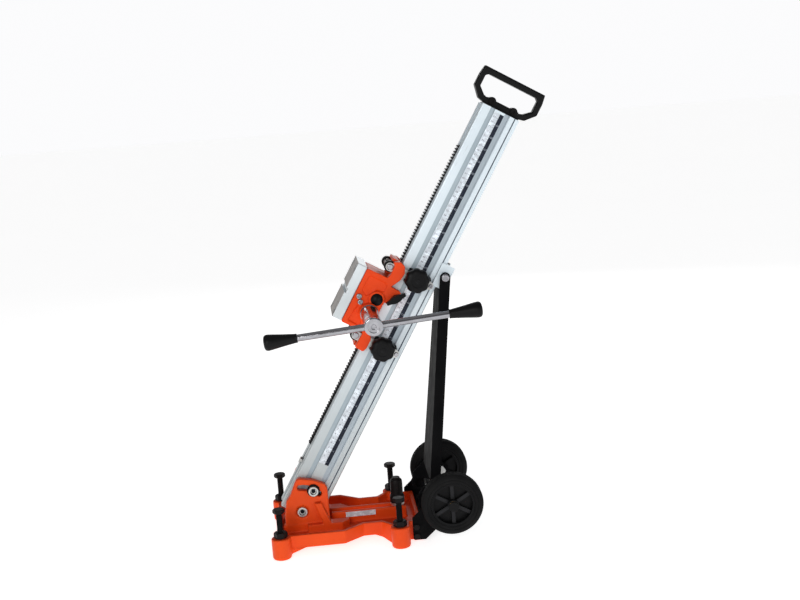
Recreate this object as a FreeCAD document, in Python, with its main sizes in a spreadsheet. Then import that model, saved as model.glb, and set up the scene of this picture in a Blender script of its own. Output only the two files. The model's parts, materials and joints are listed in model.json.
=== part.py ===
import FreeCAD, Part

import math
import os
import re

import Sketcher

# Core drill rig: a stand whose rack column tilts on a four-footed base and carries
# a hand-cranked carriage with a plate for the drill motor.
# Ground frame: origin on the floor under the middle of the four feet, +X towards the
# wheels, +Z up. The crank is on the -Y side, which is called "near".

doc = FreeCAD.newDocument("core_drill_rig")

SIZES = {
    # base casting
    "boss_x": 115.5, "boss_y": 114, "boss_radius": 18.5, "boss_height": 42,
    "boss_foot_round": 5, "boss_top_round": 2,
    "wall_top": 42, "wall_bottom": 16, "wall_thick": 8, "deck_top": 25,
    "front_x": 122, "front_y": 112, "flank_end": 8, "waist_start": 46, "waist_end": 82,
    "waist_y": 80, "flare_end": 104, "flare_y": 108, "rear_step": 134,
    "rear_y": 94, "rear_x": 158, "rear_bottom": 4,
    "plinth_front": 110, "plinth_step": 62, "plinth_end": 20, "plinth_inner": 31,
    "plinth_narrow": 47, "plinth_wide": 58, "plinth_top": 41,
    "rail_inner": 8.5, "rail_outer": 16.5, "rail_top": 48, "rail_start": -15,
    "rail_end": 136, "slot_start": 24, "slot_end": 136, "foot_rib_thick": 12,
    "foot_rib_inset": 6, "foot_rib_start": 105.5, "foot_rib_end": 67.5, "foot_clear": 3,
    # hinge cheeks
    "pivot_x": -71.1, "pivot_z": 66.4, "tilt_rest": 30.7, "tilt_most": 45,
    "cheek_inner": 31, "cheek_outer": 46.5, "rib_outer": 59,
    "clamp_radius": 48.6, "clamp_slot_half": 5.6, "slot_spare": 1.5,
    "hinge_nut_corner": 11.5, "hinge_nut_high": 11, "head_seat_gap": 2.7,
    # levelling screws
    "screw_radius": 6, "screw_tip": 1.5, "screw_top": 99.6, "screw_head_high": 8,
    "screw_head_corner": 11.8, "lock_nut_corner": 13.4, "lock_nut_high": 11.5,
    "thread_gap": 0.3, "screw_point": 1.5,
    # anchor spindle
    "anchor_x": 120, "spindle_radius": 7.9, "spindle_bottom": 6, "spindle_top": 105,
    "spindle_foot_radius": 14, "spindle_foot_high": 7, "anchor_washer_radius": 14,
    "anchor_washer_high": 5, "anchor_nut_radius": 12.6, "anchor_nut_high": 48,
    "anchor_nut_gap": 0.4, "anchor_nut_round": 4, "anchor_collar_radius": 14.8,
    "anchor_collar_high": 16,
    # wheel bracket and wheels
    "bracket_inner": 94, "bracket_sheet": 4, "axle_x": 219, "axle_z": 80,
    "axle_radius": 7, "axle_half": 142, "strut_foot_x": 188.5, "strut_foot_z": 66.4,
    "pin_radius": 6, "pin_half": 99, "pin_head_high": 3, "small_head_corner": 6.5,
    "small_head_high": 4, "stiffener_end": 184, "stiffener_z": 24,
    "stub_head_corner": 12, "stub_head_high": 7, "cap_extra": 3, "cap_high": 3,
    "wheel_y": 119, "tyre_radius": 60, "tyre_width": 30, "rim_radius": 42,
    "rim_dish": 39, "hub_radius": 11, "hub_half": 19.5, "bush_radius": 9,
    "tyre_round": 8, "disc_thick": 4, "spoke_half_thick": 3.5, "spoke_half_wide": 9,
    "axle_gap": 0.06,
    # column, in the column frame
    "column_front": -40.5, "column_rear": 38.5, "column_half": 30,
    "column_bottom": -12, "column_top": 871, "column_round": 2.5,
    "groove_depth": 3, "chamber_half": 24,
    "pivot_bolt_radius": 7, "clamp_bolt_radius": 5, "bolt_head_radius": 9.6,
    "bolt_head_high": 8, "socket_corner": 6.4, "socket_depth": 5,
    "seat_depth": 4, "clamp_washer_radius": 12.6, "clamp_washer_high": 2.5, "running_gap": 0.05,
    "block_half": 12, "block_top": 74,
    "rack_front": -45.3, "rack_back": -35.5, "rack_half": 8, "rack_bottom": 123,
    "rack_pitches": 105, "tooth_module": 2, "pinion_teeth": 16, "tooth_backlash": 0.35,
    "ruler_front": -12.8, "ruler_rear": 7.5, "ruler_bottom": 101, "ruler_top": 866,
    "ruler_thick": 0.5, "stop_screw_z": 82, "stop_screw_corner": 6.5, "stop_screw_high": 5.5,
    "handle_half": 11, "tongue_half": 5, "tongue_wide": 34,
    "handle_bolt_x": 23.2, "handle_bolt_z": 882, "handle_bolt_radius": 3.5,
    "handle_head_radius": 6, "handle_head_high": 4, "handle_nut_corner": 7.2,
    "handle_nut_high": 5.5, "clamp_nut_corner": 9.5, "clamp_nut_high": 8,
    "clamp_nut_gap": 0.4, "nut_washer_radius": 11,
    # slide bracket of the strut, in the column frame
    "strut_pin_x": 44.2, "strut_pin_z": 540, "slide_low": 515, "slide_high": 567,
    "slide_side_inner": 31.2, "slide_side_outer": 35.5, "slide_front": 28.6,
    "slide_back_gap": 0.4, "slide_back_thick": 4, "slide_screw_low": 523,
    "slide_screw_high": 559, "slide_screw_radius": 3.5, "slide_head_corner": 6.6,
    "slide_head_high": 5, "strut_boss_radius": 9.5, "strut_boss_outer": 42.5,
    "t_nut_front": 30, "t_nut_rear": 34, "t_nut_half": 8.5,
    "strut_head_radius": 8, "strut_head_high": 4.5,
    # strut, in its own frame from the foot pin up
    "strut_sheet": 3, "strut_half_deep": 10.2, "strut_top_half": 45,
    "strut_low_half": 67, "web_top_drop": 27, "web_low": 44,
    # carriage, in the carriage frame
    "carriage_z": 437.5, "block_front": -100, "block_rear": -42, "block_half_wide": 50,
    "block_low": -61, "block_high": 54, "knob_x": -4, "knob_z": 74.5,
    "plate_front": -120.5, "plate_back": -102, "plate_half": 55, "key_depth": 4,
    "key_half": 5, "motor_hole_half": 33, "motor_hole_radius": 4,
    "plate_screw_y": 40, "plate_screw_z": 46, "plate_screw_drop": 2,
    "plate_screw_radius": 5, "plate_head_radius": 8, "plate_head_high": 8.5,
    "counterbore_radius": 8.2, "plate_low": -59, "plate_high": 56, "plate_middle": -1.5,
    "crank_z": -22,
    "strap_inner": 37, "strap_outer": 42, "strap_half": 8, "strap_rear": 31.5,
    "strap_bolt_x": -61.4, "strap_bolt_radius": 5, "strap_bolt_start": 17,
    "strap_head_radius": 6.4, "strap_head_high": 5, "strap_head_clear": 7,
    "strap_nut_start": 19, "strap_nut_corner": 8.2, "button_x": 26.5, "button_radius": 4.4,
    "button_high": 3, "ring_radius": 11, "ring_thick": 6, "ring_gap": 0.4,
    "shoe_half": 15, "shoe_inner": 31, "shoe_front": -25, "shoe_rear": 24,
    "tongue_inner": 27.5, "tongue_front": -21.8, "tongue_rear": -13.8,
    "lock_x": -25.5, "lock_z": 25.5, "lock_stud_radius": 4, "lock_stud_gap": 0.3,
    "plug_x": -57.4, "plug_z": 7.5, "plug_radius": 11.6, "plug_boss_radius": 15.5,
    "plug_crown": 17, "shaft_radius": 9.95, "bush_outer": 13, "bush_inner_end": 9.5,
    "bush_boss": 12, "bush_boss_radius": 19, "knob_radius": 24.5, "knob_lobe": 5.5,
    "knob_stud_radius": 5, "knob_stud_gap": 0.3, "stem_radius": 7,
    # crank
    "crank_lift": 4.1, "hub_start": 63, "hub_front": 202, "crank_hub_radius": 16.5,
    "bar_y": 190, "bar_radius": 6.6, "bar_half": 196, "grip_start": 140,
    "grip_end": 202, "grip_small": 8.6, "grip_large": 15.2, "grip_round": 5,
    "shaft_reach": 130, "hub_disc_long": 22, "hub_flange_high": 5,
}


def add_worked_out_sizes(sizes):
    """Adds the sizes that follow from the driving ones: pinion, crank and strut."""
    tilt = math.radians(sizes["tilt_rest"])
    pitch_radius = sizes["tooth_module"] * sizes["pinion_teeth"] / 2
    pin_x = sizes["pivot_x"] + sizes["strut_pin_x"] * math.cos(tilt) \
        + sizes["strut_pin_z"] * math.sin(tilt)
    pin_z = sizes["pivot_z"] - sizes["strut_pin_x"] * math.sin(tilt) \
        + sizes["strut_pin_z"] * math.cos(tilt)
    across = pin_x - sizes["strut_foot_x"]
    upward = pin_z - sizes["strut_foot_z"]
    sizes["pitch_radius"] = pitch_radius
    sizes["pinion_pocket"] = pitch_radius + sizes["tooth_module"] + 2
    sizes["crank_x"] = sizes["rack_front"] + sizes["tooth_module"] - pitch_radius
    sizes["strut_length"] = round(math.hypot(across, upward), 4)
    sizes["strut_lean"] = round(math.degrees(math.atan2(across, upward)), 4)


add_worked_out_sizes(SIZES)

sheet = doc.addObject("Spreadsheet::Sheet", "Sizes")
for row, (alias, value) in enumerate(SIZES.items(), start=1):
    sheet.set(f"A{row}", alias)
    sheet.set(f"B{row}", str(value))
    sheet.setAlias(f"B{row}", alias)
doc.recompute()

probe = doc.addObject("App::FeaturePython", "Probe")
probe.addProperty("App::PropertyFloat", "Result")


# ---------------------------------------------------------------- helpers

def bound(text):
    """Turns a formula over aliases into an expression over the sheet."""
    def swap(match):
        word = match.group(0)
        return "Sizes." + word if word in SIZES else word
    return re.sub(r"[a-z][a-z_0-9]*", swap, str(text))


def value_of(text):
    """The formula's present number, for the first position of a sketch's corner."""
    probe.setExpression("Result", bound(text))
    probe.recompute()
    return probe.Result


def bind(item, **formulas):
    for name, text in formulas.items():
        item.setExpression(name, bound(text))
    return item


def place(item, x=0, y=0, z=0):
    for name, text in (("x", x), ("y", y), ("z", z)):
        item.setExpression(".Placement.Base." + name, bound(text))
    return item


TURNS = {
    "Z": FreeCAD.Rotation(),
    "X": FreeCAD.Rotation(FreeCAD.Vector(0, 1, 0), 90),
    "Y": FreeCAD.Rotation(FreeCAD.Vector(1, 0, 0), -90),
    "-Y": FreeCAD.Rotation(FreeCAD.Vector(1, 0, 0), 90),
    "-X": FreeCAD.Rotation(FreeCAD.Vector(0, 1, 0), -90),
}


def turned(item, way):
    item.Placement = FreeCAD.Placement(FreeCAD.Vector(), TURNS[way])
    return item


def box(x, y, z):
    """A block between pairs of formulas (low, high)."""
    item = doc.addObject("Part::Box", "Block")
    bind(item, Length=f"({x[1]}) - ({x[0]})", Width=f"({y[1]}) - ({y[0]})",
         Height=f"({z[1]}) - ({z[0]})")
    return place(item, x[0], y[0], z[0])


def rod(radius, length, at=(0, 0, 0), way="Z"):
    item = turned(doc.addObject("Part::Cylinder", "Rod"), way)
    bind(item, Radius=radius, Height=length)
    return place(item, *at)


def cone(radius_start, radius_end, length, at=(0, 0, 0), way="Z"):
    item = turned(doc.addObject("Part::Cone", "Taper"), way)
    bind(item, Radius1=radius_start, Radius2=radius_end, Height=length)
    return place(item, *at)


def hexagon(corner, length, at=(0, 0, 0), way="Z"):
    item = turned(doc.addObject("Part::Prism", "Hexagon"), way)
    item.Polygon = 6
    bind(item, Circumradius=corner, Height=length)
    return place(item, *at)


def join(*items):
    item = doc.addObject("Part::MultiFuse", "Joined")
    item.Shapes = list(items)
    item.Refine = True
    return item


def cut(base, *tools):
    item = doc.addObject("Part::Cut", "Trimmed")
    item.Base = base
    item.Tool = tools[0] if len(tools) == 1 else join(*tools)
    item.Refine = True
    return item


def group(*items):
    """Separate identical solids that share one node."""
    item = doc.addObject("Part::Compound", "Set")
    item.Links = list(items)
    return item


def body_plane(body, role):
    for feature in body.Origin.OriginFeatures:
        if feature.Role == role:
            return feature
    raise ValueError(role)


def draw_loop(sketch, points):
    """Adds a closed polygon whose corners are bound to formulas."""
    first = sketch.GeometryCount
    numbers = [(value_of(a), value_of(b)) for a, b in points]
    count = len(points)
    for index in range(count):
        start = numbers[index]
        end = numbers[(index + 1) % count]
        line = Part.LineSegment(FreeCAD.Vector(*start, 0), FreeCAD.Vector(*end, 0))
        sketch.addGeometry(line)
    for index in range(count):
        after = first + (index + 1) % count
        sketch.addConstraint(Sketcher.Constraint("Coincident", first + index, 2, after, 1))
    for index, corner in enumerate(points):
        for kind, formula, number in zip(("DistanceX", "DistanceY"), corner, numbers[index]):
            constraint = Sketcher.Constraint(kind, -1, 1, first + index, 1, number)
            place_in_list = sketch.addConstraint(constraint)
            sketch.setExpression(f"Constraints[{place_in_list}]", bound(formula))


def slab(plane, points, low, high, rounding=None, hole=None):
    """A padded polygon between two levels along the plane's normal.

    plane is "XY", "XZ" or "YZ". rounding fillets the edges along the pad."""
    body = doc.addObject("PartDesign::Body", "Slab")
    sketch = body.newObject("Sketcher::SketchObject", "Outline")
    sketch.AttachmentSupport = (body_plane(body, plane + "_Plane"), [""])
    sketch.MapMode = "FlatFace"
    start = f"-({high})" if plane == "XZ" else str(low)
    sketch.setExpression(".AttachmentOffset.Base.z", bound(start))
    draw_loop(sketch, points)
    if hole:
        draw_loop(sketch, hole)
    pad = body.newObject("PartDesign::Pad", "Pad")
    pad.Profile = sketch
    bind(pad, Length=f"({high}) - ({low})")
    doc.recompute()
    if rounding:
        along = {"XY": 2, "XZ": 1, "YZ": 0}[plane]
        names = []
        for index, edge in enumerate(pad.Shape.Edges, start=1):
            ends = edge.Vertexes
            step = ends[-1].Point - ends[0].Point
            others = [abs(step[axis]) for axis in range(3) if axis != along]
            if len(ends) == 2 and abs(step[along]) > 0.5 and max(others) < 1e-6:
                names.append(f"Edge{index}")
        fillet = body.newObject("PartDesign::Fillet", "Rounding")
        fillet.Base = (pad, names)
        bind(fillet, Radius=rounding)
        body.Tip = fillet
    return body


def rounded(item, radius, pick):
    """Fillets the edges for which pick(edge) is true."""
    doc.recompute()
    fillet = doc.addObject("Part::Fillet", "Rounded")
    fillet.Base = item
    edges = []
    for index, edge in enumerate(item.Shape.Edges, start=1):
        if pick(edge):
            edges.append((index, radius, radius))
    fillet.Edges = edges
    return fillet


def middle(edge):
    return edge.BoundBox.Center


def span(side, inner, outer):
    """The y range of a piece that lies between two distances from the middle."""
    return (f"-({outer})", f"-({inner})") if side < 0 else (inner, outer)


def frame_at(x, z, angle, parent=None):
    local = FreeCAD.Placement(FreeCAD.Vector(x, 0, z),
                              FreeCAD.Rotation(FreeCAD.Vector(0, 1, 0), angle))
    return parent.multiply(local) if parent else local


GROUND = FreeCAD.Placement()
COLUMN = frame_at(SIZES["pivot_x"], SIZES["pivot_z"], SIZES["tilt_rest"])
CARRIAGE = frame_at(0, SIZES["carriage_z"], 0, COLUMN)
CRANK = frame_at(SIZES["crank_x"], SIZES["crank_z"], 0, CARRIAGE)
CRANK_BAR = frame_at(0, 0, -SIZES["tilt_rest"] - SIZES["crank_lift"], CRANK)
STRUT = frame_at(SIZES["strut_foot_x"], SIZES["strut_foot_z"], SIZES["strut_lean"])

pieces = []


def piece(label, item, frame=GROUND):
    """Names a finished sub-part and puts it in its frame."""
    doc.recompute()
    if not item.Placement.isIdentity():
        item = group(item)
    item.Placement = frame
    item.Label = label
    pieces.append(item)
    return item


# ---------------------------------------------------------------- base

def base_outline(inset):
    """Plan of the base, symmetric about the X axis; inset moves the walls inwards."""
    near = [
        (f"-front_x + {inset}", f"-front_y + {inset}"),
        (f"flank_end - {inset} * 0.35", f"-front_y + {inset}"),
        (f"waist_start - {inset} * 0.2", f"-waist_y + {inset}"),
        (f"waist_end + {inset} * 0.3", f"-waist_y + {inset}"),
        (f"flare_end + {inset} * 0.4", f"-flare_y + {inset}"),
        (f"rear_step - {inset}", f"-flare_y + {inset}"),
        (f"rear_step - {inset}", f"-rear_y + {inset}"),
        (f"rear_x - {inset}", f"-rear_y + {inset}"),
    ]
    far = [(x, f"-({y})") for x, y in reversed(near)]
    return near + far


def foot_rib(side):
    """A triangular rib under the deck behind a front foot."""
    y_low, y_high = span(side, "boss_y - foot_rib_inset - foot_rib_thick / 2",
                         "boss_y - foot_rib_inset + foot_rib_thick / 2")
    return slab("XZ", [("-foot_rib_start", "foot_clear"), ("-foot_rib_start", "wall_bottom + 1"),
                       ("-foot_rib_end", "wall_bottom + 1")], y_low, y_high)


def flare_web(side):
    """The wall's skirt that comes down to a rear foot where the plan flares out."""
    plan = [("waist_end - 16", f"-{side} * waist_y"), ("waist_end", f"-{side} * waist_y"),
            ("flare_end", f"-{side} * flare_y"), ("boss_x", f"-{side} * flare_y"),
            ("boss_x", f"-{side} * (flare_y - wall_thick)"),
            ("flare_end + 4", f"-{side} * (flare_y - wall_thick)"),
            ("waist_end + 3", f"-{side} * (waist_y - wall_thick)"),
            ("waist_end - 16", f"-{side} * (waist_y - wall_thick)")]
    skirt = slab("XY", plan, "foot_clear", "wall_bottom + 1")
    below = slab("XZ", [("0", "0"), ("flare_end - 5", "0"), ("flare_end - 5", "foot_clear"),
                        ("waist_end - 14", "wall_bottom"), ("0", "wall_bottom")],
                 "-front_y - 1", "front_y + 1")
    return cut(skirt, below)


def make_base_casting():
    walls = slab("XY", base_outline("0"), "wall_bottom", "wall_top")
    rear_block = box(("rear_step", "rear_x"), ("-rear_y", "rear_y"), ("rear_bottom", "wall_top"))
    tray = slab("XY", base_outline("wall_thick"), "deck_top", "wall_top + 5", "3")
    rear_hollow = box(("rear_step - 1", "rear_x - wall_thick"),
                      ("wall_thick - rear_y", "rear_y - wall_thick"), ("0", "wall_bottom"))
    adds = [cut(join(walls, rear_block), tray, rear_hollow)]
    for side in (-1, 1):
        plinth = [("-plinth_front", f"{side} * plinth_inner"),
                  ("plinth_end", f"{side} * plinth_inner"),
                  ("plinth_end", f"{side} * (plinth_inner + 8)"),
                  ("plinth_end - 14", f"{side} * plinth_wide"),
                  ("-plinth_step", f"{side} * plinth_wide"),
                  ("-plinth_step", f"{side} * plinth_narrow"),
                  ("-plinth_front", f"{side} * plinth_narrow")]
        adds.append(slab("XY", plinth, "deck_top - 1", "plinth_top"))
        adds.append(box(("rail_start", "rail_end"),
                        span(side, "rail_inner", "rail_outer"), ("deck_top - 1", "rail_top")))
        for end in (-1, 1):
            boss = rod("boss_radius", "boss_height", (f"{end} * boss_x", f"{side} * boss_y", "0"))
            foot = rounded(boss, SIZES["boss_foot_round"], lambda e: e.BoundBox.ZMax < 1)
            adds.append(rounded(foot, SIZES["boss_top_round"],
                                lambda e: e.BoundBox.ZMin > SIZES["boss_height"] - 1))
        adds.append(foot_rib(side))
        adds.append(flare_web(side))
    holes = [box(("slot_start", "slot_end"), ("-rail_inner", "rail_inner"), ("0", "rail_top + 2"))]
    for side in (-1, 1):
        adds += make_hinge_cheek(side)
        holes += cheek_cuts(side)
        for end in (-1, 1):
            holes.append(rod("screw_radius + thread_gap", "boss_height + 4",
                             (f"{end} * boss_x", f"{side} * boss_y", "-2")))
    return cut(join(*adds), *holes)


CHEEK_OUTLINE = [
    ("-106", "deck_top"), ("-106", "57"), ("-101.5", "88"), ("-92.5", "99.5"),
    ("-79.5", "129"), ("-73", "133.5"), ("-46", "128.5"), ("-24", "118.5"),
    ("-18.5", "109"), ("-18", "deck_top"),
]
CHEEK_RIB = [("-46", "84"), ("-33", "84"), ("-16", "plinth_top - 1"), ("-31", "plinth_top - 1")]


def make_hinge_cheek(side):
    """One upright of the hinge fork, cast on the base, with its outer rib."""
    plate = slab("XZ", CHEEK_OUTLINE, *span(side, "cheek_inner", "cheek_outer"), "2.5")
    rib = slab("XZ", CHEEK_RIB, *span(side, "cheek_outer - 1", "rib_outer - 1"))
    return [plate, rib]


def cheek_cuts(side):
    """Pivot bore with its head seat, and the arc slot of the tilt clamp."""
    low, _high = span(side, "cheek_inner", "cheek_outer")
    wide = "cheek_outer - cheek_inner"
    seat_y = "cheek_outer - seat_depth" if side > 0 else "-cheek_outer"
    return [rod("pivot_bolt_radius", wide, ("pivot_x", low, "pivot_z"), "Y"),
            rod("bolt_head_radius + head_seat_gap", "seat_depth", ("pivot_x", seat_y, "pivot_z"), "Y"),
            make_arc_slot(low, wide)]


def make_arc_slot(from_y, length):
    """A slot along the path of the tilt clamp bolt, about the pivot."""
    first = -SIZES["slot_spare"]
    sweep = SIZES["tilt_most"] + 2 * SIZES["slot_spare"]
    ring = []
    for radius in ("clamp_radius + clamp_slot_half", "clamp_radius - clamp_slot_half"):
        sector = doc.addObject("Part::Cylinder", "Sector")
        bind(sector, Radius=radius, Height=length, Angle="tilt_most + 2 * slot_spare")
        turn = FreeCAD.Rotation(FreeCAD.Vector(0, 1, 0), first + sweep - 90)
        sector.Placement = FreeCAD.Placement(FreeCAD.Vector(), turn.multiply(TURNS["-Y"]))
        place(sector, "pivot_x", f"({from_y}) + ({length})", "pivot_z")
        ring.append(sector)
    parts = [cut(*ring)]
    for angle in (first, first + sweep):
        x = f"pivot_x + clamp_radius * sin({angle})"
        z = f"pivot_z + clamp_radius * cos({angle})"
        parts.append(rod("clamp_slot_half", length, (x, from_y, z), "Y"))
    return join(*parts)


def make_levelling_screw(end, side):
    x = f"{end} * boss_x"
    y = f"{side} * boss_y"
    shank = rod("screw_radius", "screw_top - screw_head_high - screw_tip - screw_point",
                (x, y, "screw_tip + screw_point"))
    point = cone("screw_radius - screw_point", "screw_radius", "screw_point", (x, y, "screw_tip"))
    head = hexagon("screw_head_corner", "screw_head_high",
                   (x, y, "screw_top - screw_head_high"))
    return join(shank, point, head)


def make_lock_nuts():
    nuts = []
    for end in (-1, 1):
        for side in (-1, 1):
            at = (f"{end} * boss_x", f"{side} * boss_y", "boss_height")
            nut = hexagon("lock_nut_corner", "lock_nut_high", at)
            nuts.append(cut(nut, rod("screw_radius + thread_gap", "lock_nut_high", at)))
    return group(*nuts)


def make_hinge_bolt():
    head_y = "seat_depth - cheek_outer - bolt_head_high"
    head = rod("bolt_head_radius", "bolt_head_high", ("pivot_x", head_y, "pivot_z"), "Y")
    shank = rod("pivot_bolt_radius", "2 * cheek_outer + 12",
                ("pivot_x", "seat_depth - cheek_outer", "pivot_z"), "Y")
    socket = hexagon("socket_corner", "socket_depth", ("pivot_x", head_y, "pivot_z"), "Y")
    return cut(join(head, shank), socket)


def make_hinge_nut():
    at = ("pivot_x", "cheek_outer - seat_depth", "pivot_z")
    return cut(hexagon("hinge_nut_corner", "hinge_nut_high", at, "Y"),
               rod("pivot_bolt_radius", "hinge_nut_high", at, "Y"))


# ---------------------------------------------------------------- anchor

def make_anchor_spindle():
    at = ("anchor_x", "0", "spindle_bottom")
    return join(rod("spindle_radius", "spindle_top - spindle_bottom", at),
                rod("spindle_foot_radius", "spindle_foot_high", at))


def make_anchor_washer():
    at = ("anchor_x", "0", "rail_top")
    disc = rod("anchor_washer_radius", "anchor_washer_high", at)
    return cut(disc, rod("spindle_radius", "anchor_washer_high", at))


def make_anchor_nut():
    at = ("anchor_x", "0", "rail_top + anchor_washer_high + anchor_nut_gap")
    sleeve = rod("anchor_nut_radius", "anchor_nut_high", at)
    near_top = SIZES["rail_top"] + SIZES["anchor_nut_high"]
    capped = rounded(sleeve, SIZES["anchor_nut_round"], lambda e: e.BoundBox.ZMin > near_top)
    collar = rod("anchor_collar_radius", "anchor_collar_high", at)
    return cut(join(capped, collar), rod("spindle_radius + thread_gap", "anchor_nut_high", at))


# ---------------------------------------------------------------- wheels

BRACKET_OUTLINE = [
    ("141", "4"), ("141", "49"), ("157", "63"), ("174", "94"), ("190", "100"), ("224", "98"),
    ("237", "88"), ("237", "70"), ("216", "52"), ("186", "22"), ("165", "4"),
]


def make_wheel_bracket():
    sides = []
    for side in (-1, 1):
        low, high = span(side, "bracket_inner", "bracket_inner + bracket_sheet")
        sides.append(slab("XZ", BRACKET_OUTLINE, low, high, "3"))
    web = box(("rear_x", "rear_x + bracket_sheet"),
              ("-bracket_inner - 1", "bracket_inner + 1"), ("8", "42"))
    stiffener = box(("rear_x", "stiffener_end"), ("-bracket_inner - 1", "bracket_inner + 1"),
                    ("stiffener_z", "stiffener_z + bracket_sheet"))
    holes = [rod("axle_radius", "2 * axle_half", ("axle_x", "-axle_half", "axle_z"), "Y"),
             rod("pin_radius", "2 * pin_half", ("strut_foot_x", "-pin_half", "strut_foot_z"), "Y")]
    return cut(join(*sides, web, stiffener), *holes)


def make_bracket_bolts():
    bolts = []
    for side in (-1, 1):
        for z in ("31", "12"):
            start, _end = span(side, "bracket_inner + bracket_sheet",
                               "bracket_inner + bracket_sheet + small_head_high")
            bolts.append(hexagon("small_head_corner", "small_head_high", ("148", start, z), "Y"))
    for y in ("-60", "0", "60"):
        at = ("rear_x + bracket_sheet", y, "37")
        bolts.append(hexagon("small_head_corner", "small_head_high", at, "X"))
    return group(*bolts)


def make_stub_axles():
    stubs = []
    for side in (-1, 1):
        low, high = span(side, "bracket_inner - 1", "axle_half")
        stem = rod("axle_radius", f"({high}) - ({low})", ("axle_x", low, "axle_z"), "Y")
        head_low, _high = span(side, "bracket_inner - stub_head_high", "bracket_inner")
        head = hexagon("stub_head_corner", "stub_head_high", ("axle_x", head_low, "axle_z"), "Y")
        stubs.append(join(stem, head))
    return group(*stubs)


def make_axle_caps():
    caps = []
    for side in (-1, 1):
        low, _high = span(side, "axle_half", "axle_half + cap_high")
        disc = rod("axle_radius + cap_extra", "cap_high", ("axle_x", low, "axle_z"), "Y")
        caps.append(rounded(disc, 1.4, lambda e, s=side: s * middle(e).y > SIZES["axle_half"] + 1))
    return group(*caps)


def make_foot_pin():
    pin = rod("pin_radius", "2 * pin_half", ("strut_foot_x", "-pin_half", "strut_foot_z"), "Y")
    heads = []
    for side in (-1, 1):
        low, _high = span(side, "pin_half", "pin_half + pin_head_high")
        heads.append(rod("pin_radius + cap_extra", "pin_head_high",
                         ("strut_foot_x", low, "strut_foot_z"), "Y"))
    return join(pin, *heads)


def make_tyre(side):
    low = f"{side} * wheel_y - tyre_width / 2"
    at = ("axle_x", low, "axle_z")
    ring = rod("tyre_radius", "tyre_width", at, "Y")
    crowned = rounded(ring, SIZES["tyre_round"],
                      lambda e: e.BoundBox.ZLength > 1.9 * SIZES["tyre_radius"])
    return cut(crowned, rod("rim_radius", "tyre_width", at, "Y"))


def make_rim(side):
    at_low = f"{side} * wheel_y - tyre_width / 2 + 1"
    ring = rod("rim_radius", "tyre_width - 2", ("axle_x", at_low, "axle_z"), "Y")
    bore = rod("rim_dish - 1", "tyre_width", ("axle_x", f"{at_low} - 1", "axle_z"), "Y")
    rim = cut(ring, bore)
    hub = rod("hub_radius", "2 * hub_half", ("axle_x", f"{side} * wheel_y - hub_half", "axle_z"), "Y")
    disc = rod("rim_dish", "disc_thick",
               ("axle_x", f"{side} * wheel_y - disc_thick / 2", "axle_z"), "Y")
    spokes = []
    for index in range(6):
        rib = box(("0", "rim_dish"),
                  (f"{side} * wheel_y - spoke_half_wide", f"{side} * wheel_y + spoke_half_wide"),
                  ("-spoke_half_thick", "spoke_half_thick"))
        holder = group(rib)
        turn = FreeCAD.Rotation(FreeCAD.Vector(0, 1, 0), 30 + 60 * index)
        hub_middle = FreeCAD.Vector(SIZES["axle_x"], 0, SIZES["axle_z"])
        holder.Placement = FreeCAD.Placement(hub_middle, turn)
        spokes.append(holder)
    body = join(rim, hub, disc, *spokes)
    return cut(body, rod("bush_radius", "2 * hub_half",
                         ("axle_x", f"{side} * wheel_y - hub_half", "axle_z"), "Y"))


def make_wheel_bush(side):
    at = ("axle_x", f"{side} * wheel_y - hub_half", "axle_z")
    return cut(rod("bush_radius", "2 * hub_half", at, "Y"),
               rod("axle_radius + axle_gap", "2 * hub_half", at, "Y"))


# ---------------------------------------------------------------- column

def make_column_profile():
    block = box(("column_front", "column_rear"), ("-column_half", "column_half"),
                ("column_bottom", "column_top"))
    block = rounded(block, SIZES["column_round"], lambda e: e.Length > 500)
    full = ("column_bottom - 1", "column_top + 1")
    cuts = [
        box(("-33", "-16"), ("-chamber_half", "chamber_half"), full),
        box(("-block_half", "block_half"), ("-chamber_half", "chamber_half"), full),
        box(("16", "26"), ("-chamber_half", "chamber_half"), full),
        box(("column_front - 1", "rack_back"), ("-rack_half", "rack_half"), full),
        box(("34.5", "column_rear + 1"), ("-5", "5"), full),
        box(("29.5", "34.6"), ("-9", "9"), full),
    ]
    for side in (-1, 1):
        for low, high, depth in (("-22.3", "-13.3", "groove_depth"),
                                 ("9.5", "17.5", "groove_depth"), ("28.4", "30", "2")):
            start, end = span(side, f"column_half - {depth}", "column_half + 1")
            cuts.append(box((low, high), (start, end), full))
    cuts.append(rod("pivot_bolt_radius + 0.4", "2 * column_half + 2",
                    ("0", "-column_half - 1", "0"), "Y"))
    cuts.append(rod("clamp_bolt_radius", "2 * column_half + 2",
                    ("0", "-column_half - 1", "clamp_radius"), "Y"))
    return cut(block, *cuts)


def make_foot_block():
    block = box(("-block_half", "block_half"), ("-chamber_half", "chamber_half"),
                ("column_bottom", "block_top"))
    return cut(block,
               rod("pivot_bolt_radius + running_gap", "2 * chamber_half",
                   ("0", "-chamber_half", "0"), "Y"),
               rod("clamp_bolt_radius", "2 * chamber_half",
                   ("0", "-chamber_half", "clamp_radius"), "Y"))


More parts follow.
